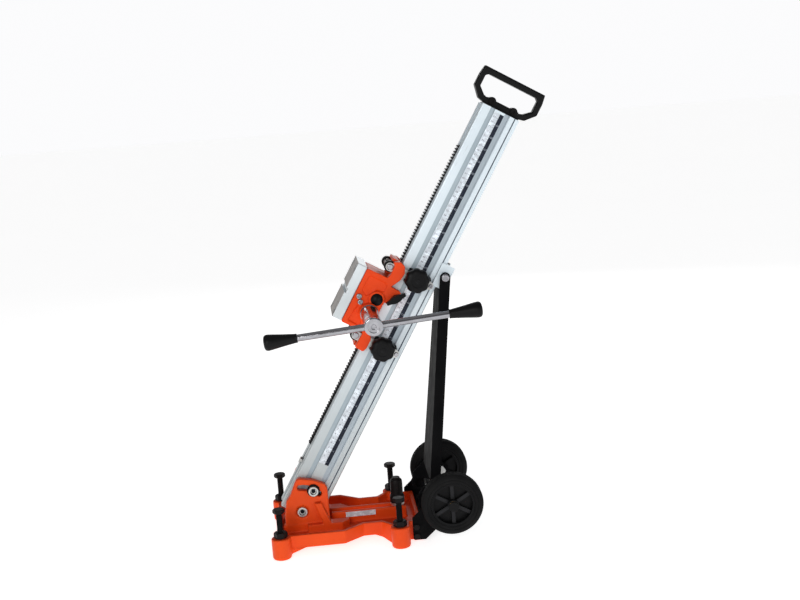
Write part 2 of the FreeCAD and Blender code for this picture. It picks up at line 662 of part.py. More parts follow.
def make_rack():
    """Straight rack of module 2: one closed tooth outline, pushed across the width."""
    pitch = math.pi * SIZES["tooth_module"]
    tip = SIZES["rack_front"]
    root = SIZES["rack_front"] + 2.25 * SIZES["tooth_module"]
    slope = math.tan(math.radians(20))
    crank_height = SIZES["carriage_z"] + SIZES["crank_z"]
    tip_half = pitch / 4 - slope * SIZES["tooth_module"] - SIZES["tooth_backlash"] / 4
    root_half = tip_half + slope * (root - tip)
    below = round((crank_height - SIZES["rack_bottom"]) / pitch)
    low = crank_height - below * pitch
    corners = [(SIZES["rack_back"], low)]
    for index in range(int(SIZES["rack_pitches"])):
        centre = low + (index + 0.5) * pitch
        corners += [(root, centre - root_half), (tip, centre - tip_half),
                    (tip, centre + tip_half), (root, centre + root_half)]
    high = low + SIZES["rack_pitches"] * pitch
    corners.insert(1, (root, low))
    corners += [(root, high), (SIZES["rack_back"], high)]
    points = [FreeCAD.Vector(x, -SIZES["rack_half"], z) for x, z in corners]
    face = Part.Face(Part.makePolygon(points + points[:1]))
    item = doc.addObject("Part::Feature", "Rack")
    item.Shape = face.extrude(FreeCAD.Vector(0, 2 * SIZES["rack_half"], 0))
    return item


def make_stop_screw():
    at = ("column_front", "0", "stop_screw_z")
    head = hexagon("stop_screw_corner", "stop_screw_high", at, "-X")
    return join(head, rod("4", "5", at, "X"))


def make_ruler():
    return box(("ruler_front", "ruler_rear"), ("-column_half - ruler_thick", "-column_half"),
               ("ruler_bottom", "ruler_top"))


def make_end_plug():
    plate = box(("column_front + 3", "column_rear - 3"), ("3 - column_half", "column_half - 3"),
                ("column_top", "column_top + 2"))
    stem = box(("1 - block_half", "block_half - 1"), ("1 - chamber_half", "chamber_half - 1"),
               ("column_top - 30", "column_top"))
    tongue = box(("-tongue_wide", "tongue_wide"), ("-tongue_half", "tongue_half"),
                 ("column_top + 1", "handle_bolt_z + 4"))
    holes = []
    for side in (-1, 1):
        holes.append(rod("handle_bolt_radius", "2 * tongue_half",
                         (f"{side} * handle_bolt_x", "-tongue_half", "handle_bolt_z"), "Y"))
    return cut(join(plate, stem, tongue), *holes)


def make_top_handle():
    right = [("65", "938"), ("68", "920"), ("68", "896"), ("50", "876.5"),
             ("35", "column_top + 2")]
    inner_right = [("51", "925.5"), ("56.5", "921"), ("56.5", "899"), ("42", "886.5"),
                   ("33", "884")]
    outer = right + [(f"-({x})", z) for x, z in reversed(right)]
    inner = inner_right + [(f"-({x})", z) for x, z in reversed(inner_right)]
    loop = slab("XZ", outer, "-handle_half", "handle_half", hole=inner)
    doc.recompute()
    loop = rounded(loop, 3.5, lambda e: abs(abs(middle(e).y) - SIZES["handle_half"]) < 0.01
                   and middle(e).z > 890)
    bosses = []
    cuts = [box(("-35", "35"), ("-tongue_half", "tongue_half"),
                ("column_top", "handle_bolt_z + 4.5"))]
    for side in (-1, 1):
        x = f"{side} * handle_bolt_x"
        bosses.append(rod("8.5", "2 * handle_half", (x, "-handle_half", "handle_bolt_z"), "Y"))
        cuts.append(rod("handle_bolt_radius", "2 * handle_half",
                        (x, "-handle_half", "handle_bolt_z"), "Y"))
    return cut(join(loop, *bosses), *cuts)


def make_handle_bolts():
    bolts = []
    for side in (-1, 1):
        x = f"{side} * handle_bolt_x"
        shank = rod("handle_bolt_radius", "2 * handle_half + 6",
                    (x, "-handle_half", "handle_bolt_z"), "Y")
        on_head = (x, "-handle_half - handle_head_high", "handle_bolt_z")
        head = rod("handle_head_radius", "handle_head_high", on_head, "Y")
        nut = hexagon("handle_nut_corner", "handle_nut_high",
                      (x, "handle_half", "handle_bolt_z"), "Y")
        socket = hexagon("3.2", "2.5", on_head, "Y")
        bolts.append(cut(join(shank, head, nut), socket))
    return group(*bolts)


def make_clamp_bolt():
    at_y = "-cheek_outer - running_gap - clamp_washer_high"
    head_y = f"{at_y} - bolt_head_high"
    head = rod("bolt_head_radius", "bolt_head_high", ("0", head_y, "clamp_radius"), "Y")
    shank = rod("clamp_bolt_radius", "2 * cheek_outer + 16", ("0", at_y, "clamp_radius"), "Y")
    socket = hexagon("socket_corner", "socket_depth", ("0", head_y, "clamp_radius"), "Y")
    return cut(join(head, shank), socket)


def make_clamp_washer():
    at = ("0", "-cheek_outer - running_gap - clamp_washer_high", "clamp_radius")
    return cut(rod("clamp_washer_radius", "clamp_washer_high", at, "Y"),
               rod("clamp_bolt_radius", "clamp_washer_high", at, "Y"))


def make_clamp_nut():
    at = ("0", "cheek_outer + clamp_nut_gap", "clamp_radius")
    washer = rod("nut_washer_radius", "clamp_washer_high", at, "Y")
    nut = hexagon("clamp_nut_corner", "clamp_nut_high",
                  ("0", "cheek_outer + clamp_nut_gap + clamp_washer_high", "clamp_radius"), "Y")
    bore = rod("clamp_bolt_radius", "clamp_nut_high + clamp_washer_high + 0.5", at, "Y")
    return cut(join(washer, nut), bore)


# ---------------------------------------------------------------- slide bracket and strut

SLIDE_SCREWS = ("slide_screw_low", "slide_screw_high")


def make_slide_bracket():
    outline = [("slide_front", "slide_low + 3"), ("slide_front", "slide_high - 4"),
               ("55.5", "slide_high - 4"), ("55.5", "549"), ("47.5", "slide_low"),
               ("33", "slide_low")]
    adds = []
    back = "column_rear + slide_back_gap + slide_back_thick"
    for side in (-1, 1):
        low, high = span(side, "slide_side_inner", "slide_side_outer")
        adds.append(slab("XZ", outline, low, high, "1.5"))
        start, _end = span(side, "slide_side_outer - 1", "strut_boss_outer - 1")
        adds.append(rod("strut_boss_radius", "strut_boss_outer - slide_side_outer",
                        ("strut_pin_x", start, "strut_pin_z"), "Y"))
    adds.append(box(("column_rear + slide_back_gap", back),
                    ("-slide_side_outer + 1", "slide_side_outer - 1"),
                    ("slide_low + 3", "slide_high - 4")))
    adds.append(box(("t_nut_rear", "column_rear + 1"), ("-4.6", "4.6"),
                    ("slide_low + 5", "slide_high - 6")))
    holes = [rod("clamp_bolt_radius", "90", ("strut_pin_x", "-45", "strut_pin_z"), "Y")]
    for z in SLIDE_SCREWS:
        holes.append(rod("slide_screw_radius", "16", ("32", "0", z), "X"))
    return cut(join(*adds), *holes)


def make_t_nut():
    bar = box(("t_nut_front", "t_nut_rear"), ("-t_nut_half", "t_nut_half"),
              ("slide_low + 3", "slide_high - 4"))
    holes = [rod("slide_screw_radius", "6", ("t_nut_front - 1", "0", z), "X")
             for z in SLIDE_SCREWS]
    return cut(bar, *holes)


def make_slide_screws():
    screws = []
    back = "column_rear + slide_back_gap + slide_back_thick"
    for z in SLIDE_SCREWS:
        shank = rod("slide_screw_radius", "13", ("t_nut_front", "0", z), "X")
        head = hexagon("slide_head_corner", "slide_head_high", (back, "0", z), "X")
        screws.append(join(shank, head))
    return group(*screws)


def make_strut_bolt():
    reach = "strut_top_half + 0.5"
    at = ("strut_pin_x", f"-({reach})", "strut_pin_z")
    parts = [rod("clamp_bolt_radius", f"2 * ({reach})", at, "Y")]
    for side in (-1, 1):
        low, _high = span(side, reach, f"({reach}) + strut_head_high")
        head = rod("strut_head_radius", "strut_head_high",
                   ("strut_pin_x", low, "strut_pin_z"), "Y")
        rim = SIZES["strut_top_half"] + 3
        parts.append(rounded(head, 3.2, lambda e, s=side, y=rim: s * middle(e).y > y))
    return join(*parts)


def make_strut():
    web_top = "strut_length - web_top_drop"
    web = slab("YZ", [("-strut_top_half", web_top), ("strut_top_half", web_top),
                      ("strut_low_half", "web_low"), ("-strut_low_half", "web_low")],
               "-strut_half_deep", "strut_sheet - strut_half_deep")
    doc.recompute()
    adds = [web]
    for side in (-1, 1):
        wall = [(f"{side} * strut_top_half", web_top),
                (f"{side} * (strut_top_half - strut_sheet)", web_top),
                (f"{side} * (strut_low_half - strut_sheet)", "web_low"),
                (f"{side} * strut_low_half", "web_low")]
        adds.append(slab("YZ", wall, "-strut_half_deep", "strut_half_deep"))
        low, high = span(side, "strut_top_half - strut_sheet", "strut_top_half")
        adds.append(box(("-strut_half_deep", "strut_half_deep"), (low, high),
                        (f"{web_top} - 1", "strut_length")))
        adds.append(rod("strut_half_deep", "strut_sheet", ("0", low, "strut_length"), "Y"))
        low, high = span(side, "strut_low_half - strut_sheet", "strut_low_half")
        foot = [("-31", "-9"), ("-24", "-15.5"), ("14", "-15.5"), ("14", "16"),
                ("strut_half_deep", "web_low + 1"), ("-strut_half_deep", "web_low + 1"), ("-31", "20")]
        adds.append(slab("XZ", foot, low, high, "2"))
    holes = [rod("clamp_bolt_radius + running_gap", "100", ("0", "-50", "strut_length"), "Y")]
    for side in (-1, 1):
        low, high = span(side, "strut_low_half - strut_sheet - 1", "strut_low_half + 1")
        holes.append(slab("XZ", [("-25", "-10.5"), ("9.5", "-10.5"), ("9.5", "7.5"),
                                 ("-25", "7.5")], low, high, "6"))
    return cut(join(*adds), *holes)


# ---------------------------------------------------------------- carriage

EARS = {
    1: [("-58", "50"), ("-54", "62"), ("-55", "82"), ("-62", "86"), ("-47", "92"),
        ("-36", "88"), ("-30", "76"), ("-31.5", "62"), ("-37", "51"), ("-44", "40")],
    -1: [("-54", "-95"), ("-36", "-96.5"), ("-32", "-88"), ("-31.5", "-69"), ("-42", "-52"),
         ("-60", "-52"), ("-52", "-66")],
}
LOCK_BOSS = [("-46", "7"), ("-28", "9"), ("-13.5", "23.5"), ("-17", "36"), ("-24", "40"),
             ("-46", "41")]
UPPER_PANEL = [("-90", "44"), ("-90.5", "12"), ("-79", "3"), ("-72", "12"), ("-66", "23"),
               ("-50", "26"), ("-50", "40"), ("-57", "44")]
LOWER_PANEL = [("-85", "-16"), ("-90", "-53"), ("-66", "-54"), ("-64", "-46"), ("-78", "-34"),
               ("-80", "-20")]


def on_strap_bolt(radius, side, end, inner, outer):
    """A rod on the axis of one strap bolt, between two distances from the middle."""
    low, high = span(side, inner, outer)
    at = ("strap_bolt_x", low, f"{end} * knob_z")
    return rod(radius, f"({high}) - ({low})", at, "Y")


def strap_bar(side, end):
    """The flat bar of one side strap, from its bolt to behind its knob."""
    z = f"{end} * knob_z"
    low, high = span(side, "strap_inner", "strap_outer")
    bar = box(("strap_bolt_x", "strap_rear - strap_half"), (low, high),
              (f"{z} - strap_half", f"{z} + strap_half"))
    nose = rod("strap_half", "strap_outer - strap_inner", ("strap_rear - strap_half", low, z), "Y")
    tail = on_strap_bolt("strap_half", side, end, "strap_inner", "strap_outer")
    return join(bar, nose, tail)


def make_carriage_casting():
    body = slab("XZ", [("block_front", "block_low"), ("block_front", "block_high - 2"),
                       ("-96", "block_high"), ("block_rear", "block_high"),
                       ("block_rear", "block_low + 12"), ("-50", "block_low + 1"),
                       ("-78", "block_low")],
                "-block_half_wide", "block_half_wide", "3")
    adds = [body]
    cuts = [
        box(("-47.5", "block_rear + 1"), ("-9.5", "9.5"), ("block_low - 1", "block_high + 1")),
        rod("pinion_pocket", "19", ("crank_x", "-9.5", "crank_z"), "Y"),
        rod("bush_outer", "2 * block_half_wide + 20",
            ("crank_x", "-block_half_wide - bush_boss - 1", "crank_z"), "Y"),
        slab("XZ", UPPER_PANEL, "-block_half_wide - 0.5", "3 - block_half_wide", "2.5"),
        slab("XZ", LOWER_PANEL, "-block_half_wide - 0.5", "3 - block_half_wide", "2.5"),
        rod("plug_radius", "9", ("plug_x", "-block_half_wide - 7", "plug_z"), "Y"),
        rod("lock_stud_radius + lock_stud_gap", "30",
            ("lock_x", "-block_half_wide - 2", "lock_z"), "Y"),
    ]
    bridges = {1: (("-62", "-47.5"), ("85.5", "91.5")), -1: (("-56", "-47.5"), ("-95", "-86"))}
    for end, (across, upward) in bridges.items():
        adds.append(box(across, ("-32", "32"), upward))
    for side in (-1, 1):
        low, high = span(side, "cheek_inner", "block_half_wide")
        adds.append(slab("XZ", LOCK_BOSS, low, high, "2"))
        for end, outline in EARS.items():
            adds.append(slab("XZ", outline, low, high, "2.5"))
            cuts.append(on_strap_bolt("ring_radius + ring_gap", side, end,
                                      "cheek_inner - 1", "strap_inner"))
            cuts.append(on_strap_bolt("strap_head_clear", side, end,
                                      "strap_outer", "strap_outer + 10"))
            cuts.append(strap_bar(side, end))
            cuts.append(rod("plate_screw_radius", "20",
                            ("block_front - 1", f"{side} * plate_screw_y",
                             f"{end} * plate_screw_z - plate_screw_drop"), "X"))
    adds.append(rod("bush_boss_radius", "bush_boss + 1",
                    ("crank_x", "-block_half_wide - bush_boss", "crank_z"), "Y"))
    adds.append(rod("plug_boss_radius", "7", ("plug_x", "-block_half_wide - 6", "plug_z"), "Y"))
    return cut(join(*adds), *cuts)


def make_straps():
    straps = []
    for side in (-1, 1):
        for end in (-1, 1):
            low, _high = span(side, "strap_inner", "strap_outer")
            holes = [on_strap_bolt("strap_bolt_radius", side, end, "strap_inner", "strap_outer")]
            if side < 0:
                holes.append(rod("knob_stud_radius + knob_stud_gap", "strap_outer - strap_inner",
                                 ("knob_x", low, f"{end} * knob_z"), "Y"))
            straps.append(cut(strap_bar(side, end), *holes))
    return group(*straps)


def make_guide_shoes():
    """Four sliding shoes whose tongues run in the side grooves of the column."""
    shoes = []
    for side in (-1, 1):
        low, high = span(side, "shoe_inner", "strap_inner")
        tongue_low, tongue_high = span(side, "tongue_inner", "shoe_inner + 1")
        for end in (-1, 1):
            z = f"{end} * knob_z"
            bottom, top = f"{z} - shoe_half", f"{z} + shoe_half"
            block = slab("XZ", [("shoe_front", bottom), ("shoe_rear - 4", bottom),
                                ("shoe_rear", f"{z} - 9"), ("shoe_rear", f"{z} + 9"),
                                ("shoe_rear - 4", top), ("shoe_front", top)], low, high, "2")
            tongue = box(("tongue_front", "tongue_rear"), (tongue_low, tongue_high),
                         (bottom, top))
            shoe = join(block, tongue)
            if side < 0:
                shoe = cut(shoe, rod("knob_stud_radius + knob_stud_gap", "2.5",
                                     ("knob_x", low, z), "Y"))
            shoes.append(shoe)
    return group(*shoes)


def make_strap_bolts():
    bolts = []
    for side in (-1, 1):
        for end in (-1, 1):
            shank = on_strap_bolt("strap_bolt_radius", side, end,
                                  "strap_bolt_start", "strap_outer")
            head = on_strap_bolt("strap_head_radius", side, end,
                                 "strap_outer", "strap_outer + strap_head_high")
            rim = SIZES["strap_outer"] + SIZES["strap_head_high"] - 1
            dome = rounded(head, 2.2, lambda e, s=side, y=rim: s * middle(e).y > y)
            bolts.append(join(shank, dome))
    return group(*bolts)


def make_strap_rings():
    """Black rollers on the strap bolts, behind the straps."""
    rings = []
    for side in (-1, 1):
        for end in (-1, 1):
            inner = "cheek_inner - ring_thick"
            ring = on_strap_bolt("ring_radius", side, end, inner, "strap_inner")
            rim = SIZES["cheek_inner"] - SIZES["ring_thick"] + 1
            crown = rounded(ring, 1.5, lambda e, s=side, y=rim: s * middle(e).y < y)
            bore = on_strap_bolt("strap_bolt_radius", side, end, inner, "strap_inner")
            rings.append(cut(crown, bore))
    return group(*rings)


def make_strap_nuts():
    nuts = []
    for side in (-1, 1):
        for end in (-1, 1):
            inner, outer = "strap_nut_start", "cheek_inner - ring_thick"
            low, _high = span(side, inner, outer)
            at = ("strap_bolt_x", low, f"{end} * knob_z")
            nut = hexagon("strap_nut_corner", f"{outer} - {inner}", at, "Y")
            nuts.append(cut(nut, on_strap_bolt("strap_bolt_radius", side, end, inner, outer)))
    return group(*nuts)


def make_end_buttons():
    buttons = []
    for side in (-1, 1):
        for end in (-1, 1):
            low, _high = span(side, "strap_outer", "strap_outer + button_high")
            head = rod("button_radius", "button_high", ("button_x", low, f"{end} * knob_z"), "Y")
            rim = SIZES["strap_outer"] + SIZES["button_high"] - 1
            buttons.append(rounded(head, 1.5, lambda e, s=side, y=rim: s * middle(e).y > y))
    return group(*buttons)


def make_motor_plate():
    plate = box(("plate_front", "plate_back"), ("-plate_half", "plate_half"),
                ("plate_low", "plate_high"))
    plate = rounded(plate, 2, lambda e: e.BoundBox.XLength > 10)
    shim = box(("plate_back - 1", "block_front"), ("4 - block_half_wide", "block_half_wide - 4"),
               ("plate_low + 3", "plate_high - 3"))
    cuts = [box(("plate_front - 1", "plate_front + key_depth"), ("-plate_half - 1", "plate_half + 1"),
                ("plate_middle - key_half", "plate_middle + key_half"))]
    for side in (-1, 1):
        for end in (-1, 1):
            cuts.append(rod("motor_hole_radius", "block_front - plate_front",
                            ("plate_front", f"{side} * motor_hole_half",
                             f"{end} * motor_hole_half + plate_middle"), "X"))
            z = f"{end} * plate_screw_z - plate_screw_drop"
            cuts.append(rod("plate_screw_radius", "block_front - plate_front",
                            ("plate_front", f"{side} * plate_screw_y", z), "X"))
            cuts.append(rod("counterbore_radius", "10",
                            ("plate_front - 0.5", f"{side} * plate_screw_y", z), "X"))
    return cut(join(plate, shim), *cuts)


def make_plate_screws():
    screws = []
    for side in (-1, 1):
        for end in (-1, 1):
            y = f"{side} * plate_screw_y"
            z = f"{end} * plate_screw_z - plate_screw_drop"
            head = rod("plate_head_radius", "plate_head_high", ("plate_front + 1", y, z), "X")
            shank = rod("plate_screw_radius", "29",
                        ("plate_front + 1 + plate_head_high", y, z), "X")
            socket = hexagon("4.6", "5", ("plate_front + 1", y, z), "X")
            screws.append(cut(join(head, shank), socket))
    return group(*screws)


def make_bushes():
    bushes = []
    for side in (-1, 1):
        outer = "block_half_wide + bush_boss" if side < 0 else "block_half_wide"
        low, _high = span(side, "bush_inner_end", outer)
        length = f"({outer}) - bush_inner_end"
        at = ("crank_x", low, "crank_z")
        bushes.append(cut(rod("bush_outer", length, at, "Y"),
                          rod("shaft_radius + running_gap", length, at, "Y")))
    return group(*bushes)


def make_bore_plug():
    at = ("plug_x", "-block_half_wide - 6", "plug_z")
    stem = rod("plug_radius", "7", at, "Y")
    crown = doc.addObject("Part::Sphere", "Crown")
    bind(crown, Radius="plug_crown")
    place(crown, "plug_x", "-block_half_wide + 6.4", "plug_z")
    shell = doc.addObject("Part::Common", "Dome")
    shell.Base = crown
    shell.Tool = rod("plug_radius", "12", ("plug_x", "-block_half_wide - 16", "plug_z"), "Y")
    return join(stem, shell)


def make_cover_bolts():
    bolts = []
    for x, z in (("-90.5", "-1.5"), ("-83.5", "-10.5")):
        head = rod("5.4", "5", (x, "-block_half_wide - 5", z), "Y")
        bolts.append(rounded(head, 1.6, lambda e: middle(e).y < -SIZES["block_half_wide"] - 4))
    return group(*bolts)


def make_guide_knob(end):
    z = f"{end} * knob_z"
    core = rod("knob_radius - 2.5", "24", ("knob_x", "-70", z), "Y")
    lobes = []
    count = 8
    for index in range(count):
        angle = 360 / count * (index + 0.5)
        x = f"knob_x + (knob_radius - knob_lobe) * cos({angle})"
        lobe_z = f"{z} + (knob_radius - knob_lobe) * sin({angle})"
        lobes.append(rod("knob_lobe", "20", (x, "-68", lobe_z), "Y"))
    grip = join(core, *lobes)
    stud = rod("knob_stud_radius", "48 - strap_inner", ("knob_x", "-46", z), "Y")
    return join(grip, stud)


def make_lock_knob():
    """A wing knob; its bar lies along the direction of the lock boss."""
    stud = rod("lock_stud_radius", "23.5", ("lock_x", "-block_half_wide - 4", "lock_z"), "Y")
    neck = rod("stem_radius", "6", ("lock_x", "-block_half_wide - 8", "lock_z"), "Y")
    bar = slab("XZ", [("-20.5", "-3"), ("-12", "-4.2"), ("-5", "-7"), ("5", "-7"), ("12", "-4.2"),
                      ("20.5", "-3"), ("20.5", "3"), ("12", "4.2"), ("5", "7"), ("-5", "7"),
                      ("-12", "4.2"), ("-20.5", "3")],
               "-block_half_wide - 20", "-block_half_wide - 7", "2")
    holder = group(bar)
    holder.Placement = frame_at(SIZES["lock_x"], SIZES["lock_z"], -54)
    return join(stud, neck, holder)


# ---------------------------------------------------------------- crank

def involute_point(base_radius, roll, start):
    """Point on an involute of the base circle, at roll radians from its start angle."""
    angle = start + roll
    x = base_radius * (math.cos(angle) + roll * math.sin(angle))
    z = base_radius * (math.sin(angle) - roll * math.cos(angle))
    return FreeCAD.Vector(x, 0, z)


def make_pinion_shaft():
    """Shaft with a sixteen-tooth pinion; one tooth points at the rack at rest."""
    teeth = int(SIZES["pinion_teeth"])
    pressure = math.radians(20)
    base_radius = SIZES["pitch_radius"] * math.cos(pressure)
    tip_radius = SIZES["pitch_radius"] + SIZES["tooth_module"] - 0.1
    root_radius = SIZES["pitch_radius"] - 1.25 * SIZES["tooth_module"]
    tip_roll = math.sqrt((tip_radius / base_radius) ** 2 - 1)
    half_tooth = (math.pi / 2 - SIZES["tooth_backlash"] / SIZES["tooth_module"] / 2) / teeth
    flank_start = half_tooth + math.tan(pressure) - pressure
    edges = []
    last = None
    first = None
    for index in range(teeth):
        centre = 2 * math.pi * index / teeth
        rise = []
        fall = []
        for step in range(4):
            roll = tip_roll * step / 3
            rise_point = involute_point(base_radius, roll, -flank_start)
            radius = rise_point.Length
            angle = math.atan2(rise_point.z, rise_point.x)
            rise.append(polar(radius, centre + angle))
            fall.insert(0, polar(radius, centre - angle))
        foot_in = polar(root_radius, centre - flank_start)
        foot_out = polar(root_radius, centre + flank_start)
        points = [foot_in] + rise + fall + [foot_out]
        if last:
            edges.append(Part.makeLine(last, foot_in))
        first = first or foot_in
        for start, end in zip(points, points[1:]):
            edges.append(Part.makeLine(start, end))
        last = foot_out
    edges.append(Part.makeLine(last, first))
    face = Part.Face(Part.Wire(edges))
    face.translate(FreeCAD.Vector(0, -SIZES["rack_half"], 0))
    gear = doc.addObject("Part::Feature", "Gear")
    gear.Shape = face.extrude(FreeCAD.Vector(0, 2 * SIZES["rack_half"], 0))
    shaft = rod("shaft_radius", "block_half_wide + shaft_reach", ("0", "-shaft_reach", "0"), "Y")
    return join(gear, shaft)


def polar(radius, angle):
    return FreeCAD.Vector(radius * math.cos(angle), 0, radius * math.sin(angle))


def make_crank_hub():
    sleeve = rod("crank_hub_radius", "hub_front - hub_start - hub_disc_long",
                 ("0", "hub_disc_long - hub_front", "0"), "Y")
    flange = rod("crank_hub_radius + 1.5", "hub_flange_high",
                 ("0", "-hub_start - hub_flange_high", "0"), "Y")
    disc = rod("crank_hub_radius + 1", "hub_disc_long", ("0", "-hub_front", "0"), "Y")
    disc = rounded(disc, 2, lambda e: middle(e).y < 1 - SIZES["hub_front"])
    bore = rod("shaft_radius", "shaft_reach - hub_start", ("0", "-shaft_reach", "0"), "Y")
    across = rod("bar_radius", "60", ("-30", "-bar_y", "0"), "X")
    return cut(join(sleeve, flange, disc), bore, across)


def make_crank_bar():
    return rod("bar_radius", "2 * bar_half", ("-bar_half", "-bar_y", "0"), "X")


def make_crank_grips():
    grips = []
    for way, sign in (("-X", "-"), ("X", "")):
        start = (f"{sign}grip_start", "-bar_y", "0")
        length = "grip_end - grip_start"
        taper = cone("grip_small", "grip_large", length, start, way)
        end = SIZES["grip_end"] - 1
        taper = rounded(taper, SIZES["grip_round"], lambda e: abs(middle(e).x) > end)
        bore = rod("bar_radius", "bar_half - grip_start", start, way)
        grips.append(cut(taper, bore))
    return group(*grips)


# ---------------------------------------------------------------- assembly

def make_label_plate():
    return box(("14", "74"), ("-rail_outer - 0.8", "-rail_outer"),
               ("rail_top - 12", "rail_top - 1.5"))


def side_name(side):
    return "near" if side < 0 else "far"


piece("base_casting", make_base_casting())
piece("hinge_pivot_bolt", make_hinge_bolt())
piece("hinge_pivot_nut", make_hinge_nut())
piece("levelling_lock_nuts", make_lock_nuts())
piece("rating_plate", make_label_plate())
for end, end_name in ((-1, "front"), (1, "rear")):
    for side in (-1, 1):
        piece(f"levelling_screw_{end_name}_{side_name(side)}", make_levelling_screw(end, side))

piece("anchor_spindle", make_anchor_spindle())
piece("anchor_washer", make_anchor_washer())
piece("anchor_nut", make_anchor_nut())

piece("wheel_bracket", make_wheel_bracket())
piece("wheel_bracket_bolts", make_bracket_bolts())
piece("wheel_stub_axles", make_stub_axles())
piece("axle_end_caps", make_axle_caps())
piece("strut_foot_pin", make_foot_pin())
for side in (-1, 1):
    piece(f"wheel_tyre_{side_name(side)}", make_tyre(side))
    piece(f"wheel_rim_{side_name(side)}", make_rim(side))
    piece(f"wheel_bush_{side_name(side)}", make_wheel_bush(side))

piece("column_profile", make_column_profile(), COLUMN)
piece("column_foot_block", make_foot_block(), COLUMN)
piece("tooth_rack", make_rack(), COLUMN)
piece("rack_stop_screw", make_stop_screw(), COLUMN)
piece("ruler_strip", make_ruler(), COLUMN)
piece("column_end_plug", make_end_plug(), COLUMN)
piece("top_handle", make_top_handle(), COLUMN)
piece("top_handle_bolts", make_handle_bolts(), COLUMN)
piece("tilt_clamp_bolt", make_clamp_bolt(), COLUMN)
piece("tilt_clamp_washer", make_clamp_washer(), COLUMN)
piece("tilt_clamp_nut", make_clamp_nut(), COLUMN)

piece("strut_slide_bracket", make_slide_bracket(), COLUMN)
piece("slide_t_nut", make_t_nut(), COLUMN)
piece("slide_bracket_screws", make_slide_screws(), COLUMN)
piece("strut_top_bolt", make_strut_bolt(), COLUMN)
piece("strut_channel", make_strut(), STRUT)

piece("carriage_casting", make_carriage_casting(), CARRIAGE)
piece("side_straps", make_straps(), CARRIAGE)
piece("guide_shoes", make_guide_shoes(), CARRIAGE)
piece("strap_bolts", make_strap_bolts(), CARRIAGE)
piece("strap_rings", make_strap_rings(), CARRIAGE)
piece("strap_nuts", make_strap_nuts(), CARRIAGE)
piece("strap_end_buttons", make_end_buttons(), CARRIAGE)
piece("motor_plate", make_motor_plate(), CARRIAGE)
piece("motor_plate_screws", make_plate_screws(), CARRIAGE)
piece("crank_shaft_bushes", make_bushes(), CARRIAGE)
piece("bore_plug", make_bore_plug(), CARRIAGE)
piece("cover_bolts", make_cover_bolts(), CARRIAGE)
piece("guide_knob_upper", make_guide_knob(1), CARRIAGE)
piece("guide_knob_lower", make_guide_knob(-1), CARRIAGE)
piece("lock_knob", make_lock_knob(), CARRIAGE)

piece("pinion_shaft", make_pinion_shaft(), CRANK)
piece("crank_hub", make_crank_hub(), CRANK_BAR)
piece("crank_bar", make_crank_bar(), CRANK_BAR)
piece("crank_grips", make_crank_grips(), CRANK_BAR)


# ---------------------------------------------------------------- checks and files

doc.recompute()
faults = []
for item in doc.Objects:
    states = [state for state in item.State if state in ("Invalid", "Error")]
    shape = getattr(item, "Shape", None)
    if states:
        faults.append(f"{item.Label}: {states}")
    if item in pieces and (shape is None or shape.isNull() or not shape.isValid()):
        faults.append(f"{item.Label}: bad shape")
if faults:
    raise RuntimeError("; ".join(faults))

os.makedirs("parts", exist_ok=True)
for item in pieces:
    item.Shape.exportStep(f"parts/{item.Label}.step")
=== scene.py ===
import json
import math

import bmesh
import bpy
from mathutils import Matrix, Vector


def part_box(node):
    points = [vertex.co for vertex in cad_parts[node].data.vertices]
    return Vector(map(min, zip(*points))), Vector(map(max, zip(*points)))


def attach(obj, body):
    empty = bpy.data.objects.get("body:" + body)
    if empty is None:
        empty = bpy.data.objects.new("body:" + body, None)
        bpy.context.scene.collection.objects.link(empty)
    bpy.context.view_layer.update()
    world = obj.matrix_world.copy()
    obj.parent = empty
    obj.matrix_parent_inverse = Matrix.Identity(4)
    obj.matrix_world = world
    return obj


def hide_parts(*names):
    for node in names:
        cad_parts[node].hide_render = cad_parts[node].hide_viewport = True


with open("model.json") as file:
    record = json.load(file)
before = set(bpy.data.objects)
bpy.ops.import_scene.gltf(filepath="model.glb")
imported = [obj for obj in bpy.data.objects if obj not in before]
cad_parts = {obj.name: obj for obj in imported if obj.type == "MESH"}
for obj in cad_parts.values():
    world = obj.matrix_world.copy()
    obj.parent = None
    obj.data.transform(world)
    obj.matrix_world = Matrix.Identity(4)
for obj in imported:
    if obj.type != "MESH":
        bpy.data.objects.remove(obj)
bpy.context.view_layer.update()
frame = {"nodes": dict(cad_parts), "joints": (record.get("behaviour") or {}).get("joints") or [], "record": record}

# Core drill rig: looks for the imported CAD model. Meshes are drawn in millimetres in a
# local frame and brought to metres in the row frame when they are placed.

MM = 0.001
RECORD = frame["record"]
NODES = frame["nodes"]
JOINTS = {joint["name"]: joint for joint in frame["joints"]}
BODY_OF = {node: body for body, members in RECORD["behaviour"]["bodies"].items() for node in members}
SLOT_OF = {part["node"]: part["material_slot"] for part in RECORD["subparts"]}

NEAR = Vector((0, -1, 0))
REAR = Vector((1, 0, 0))
FAR = Vector((0, 1, 0))
UP = Vector((0, 0, 1))
PIVOT = Vector(JOINTS["column_tilt"]["pos_m"])
ALONG = Vector(JOINTS["carriage_slide"]["axis"]).normalized()
ACROSS = Vector((ALONG.z, 0, -ALONG.x))
TILT = math.atan2(ALONG.x, ALONG.z)


# ---------------------------------------------------------------- frames

def placed(origin, side, depth, height):
    """A frame in metres with the given axes; its own units are millimetres."""
    turn = Matrix((side, depth, height)).transposed().to_4x4()
    return Matrix.Translation(origin) @ turn @ Matrix.Scale(MM, 4)


def frame_on(origin, direction):
    """A frame whose local Z runs along a direction."""
    height = Vector(direction).normalized()
    hint = UP if abs(height.z) < 0.9 else Vector((1, 0, 0))
    side = hint.cross(height).normalized()
    return placed(origin, side, height.cross(side), height)


def upright_at(point):
    """A frame on the floor below a point, with the row frame's own directions."""
    return placed((point.x, point.y, 0), REAR, FAR, UP)


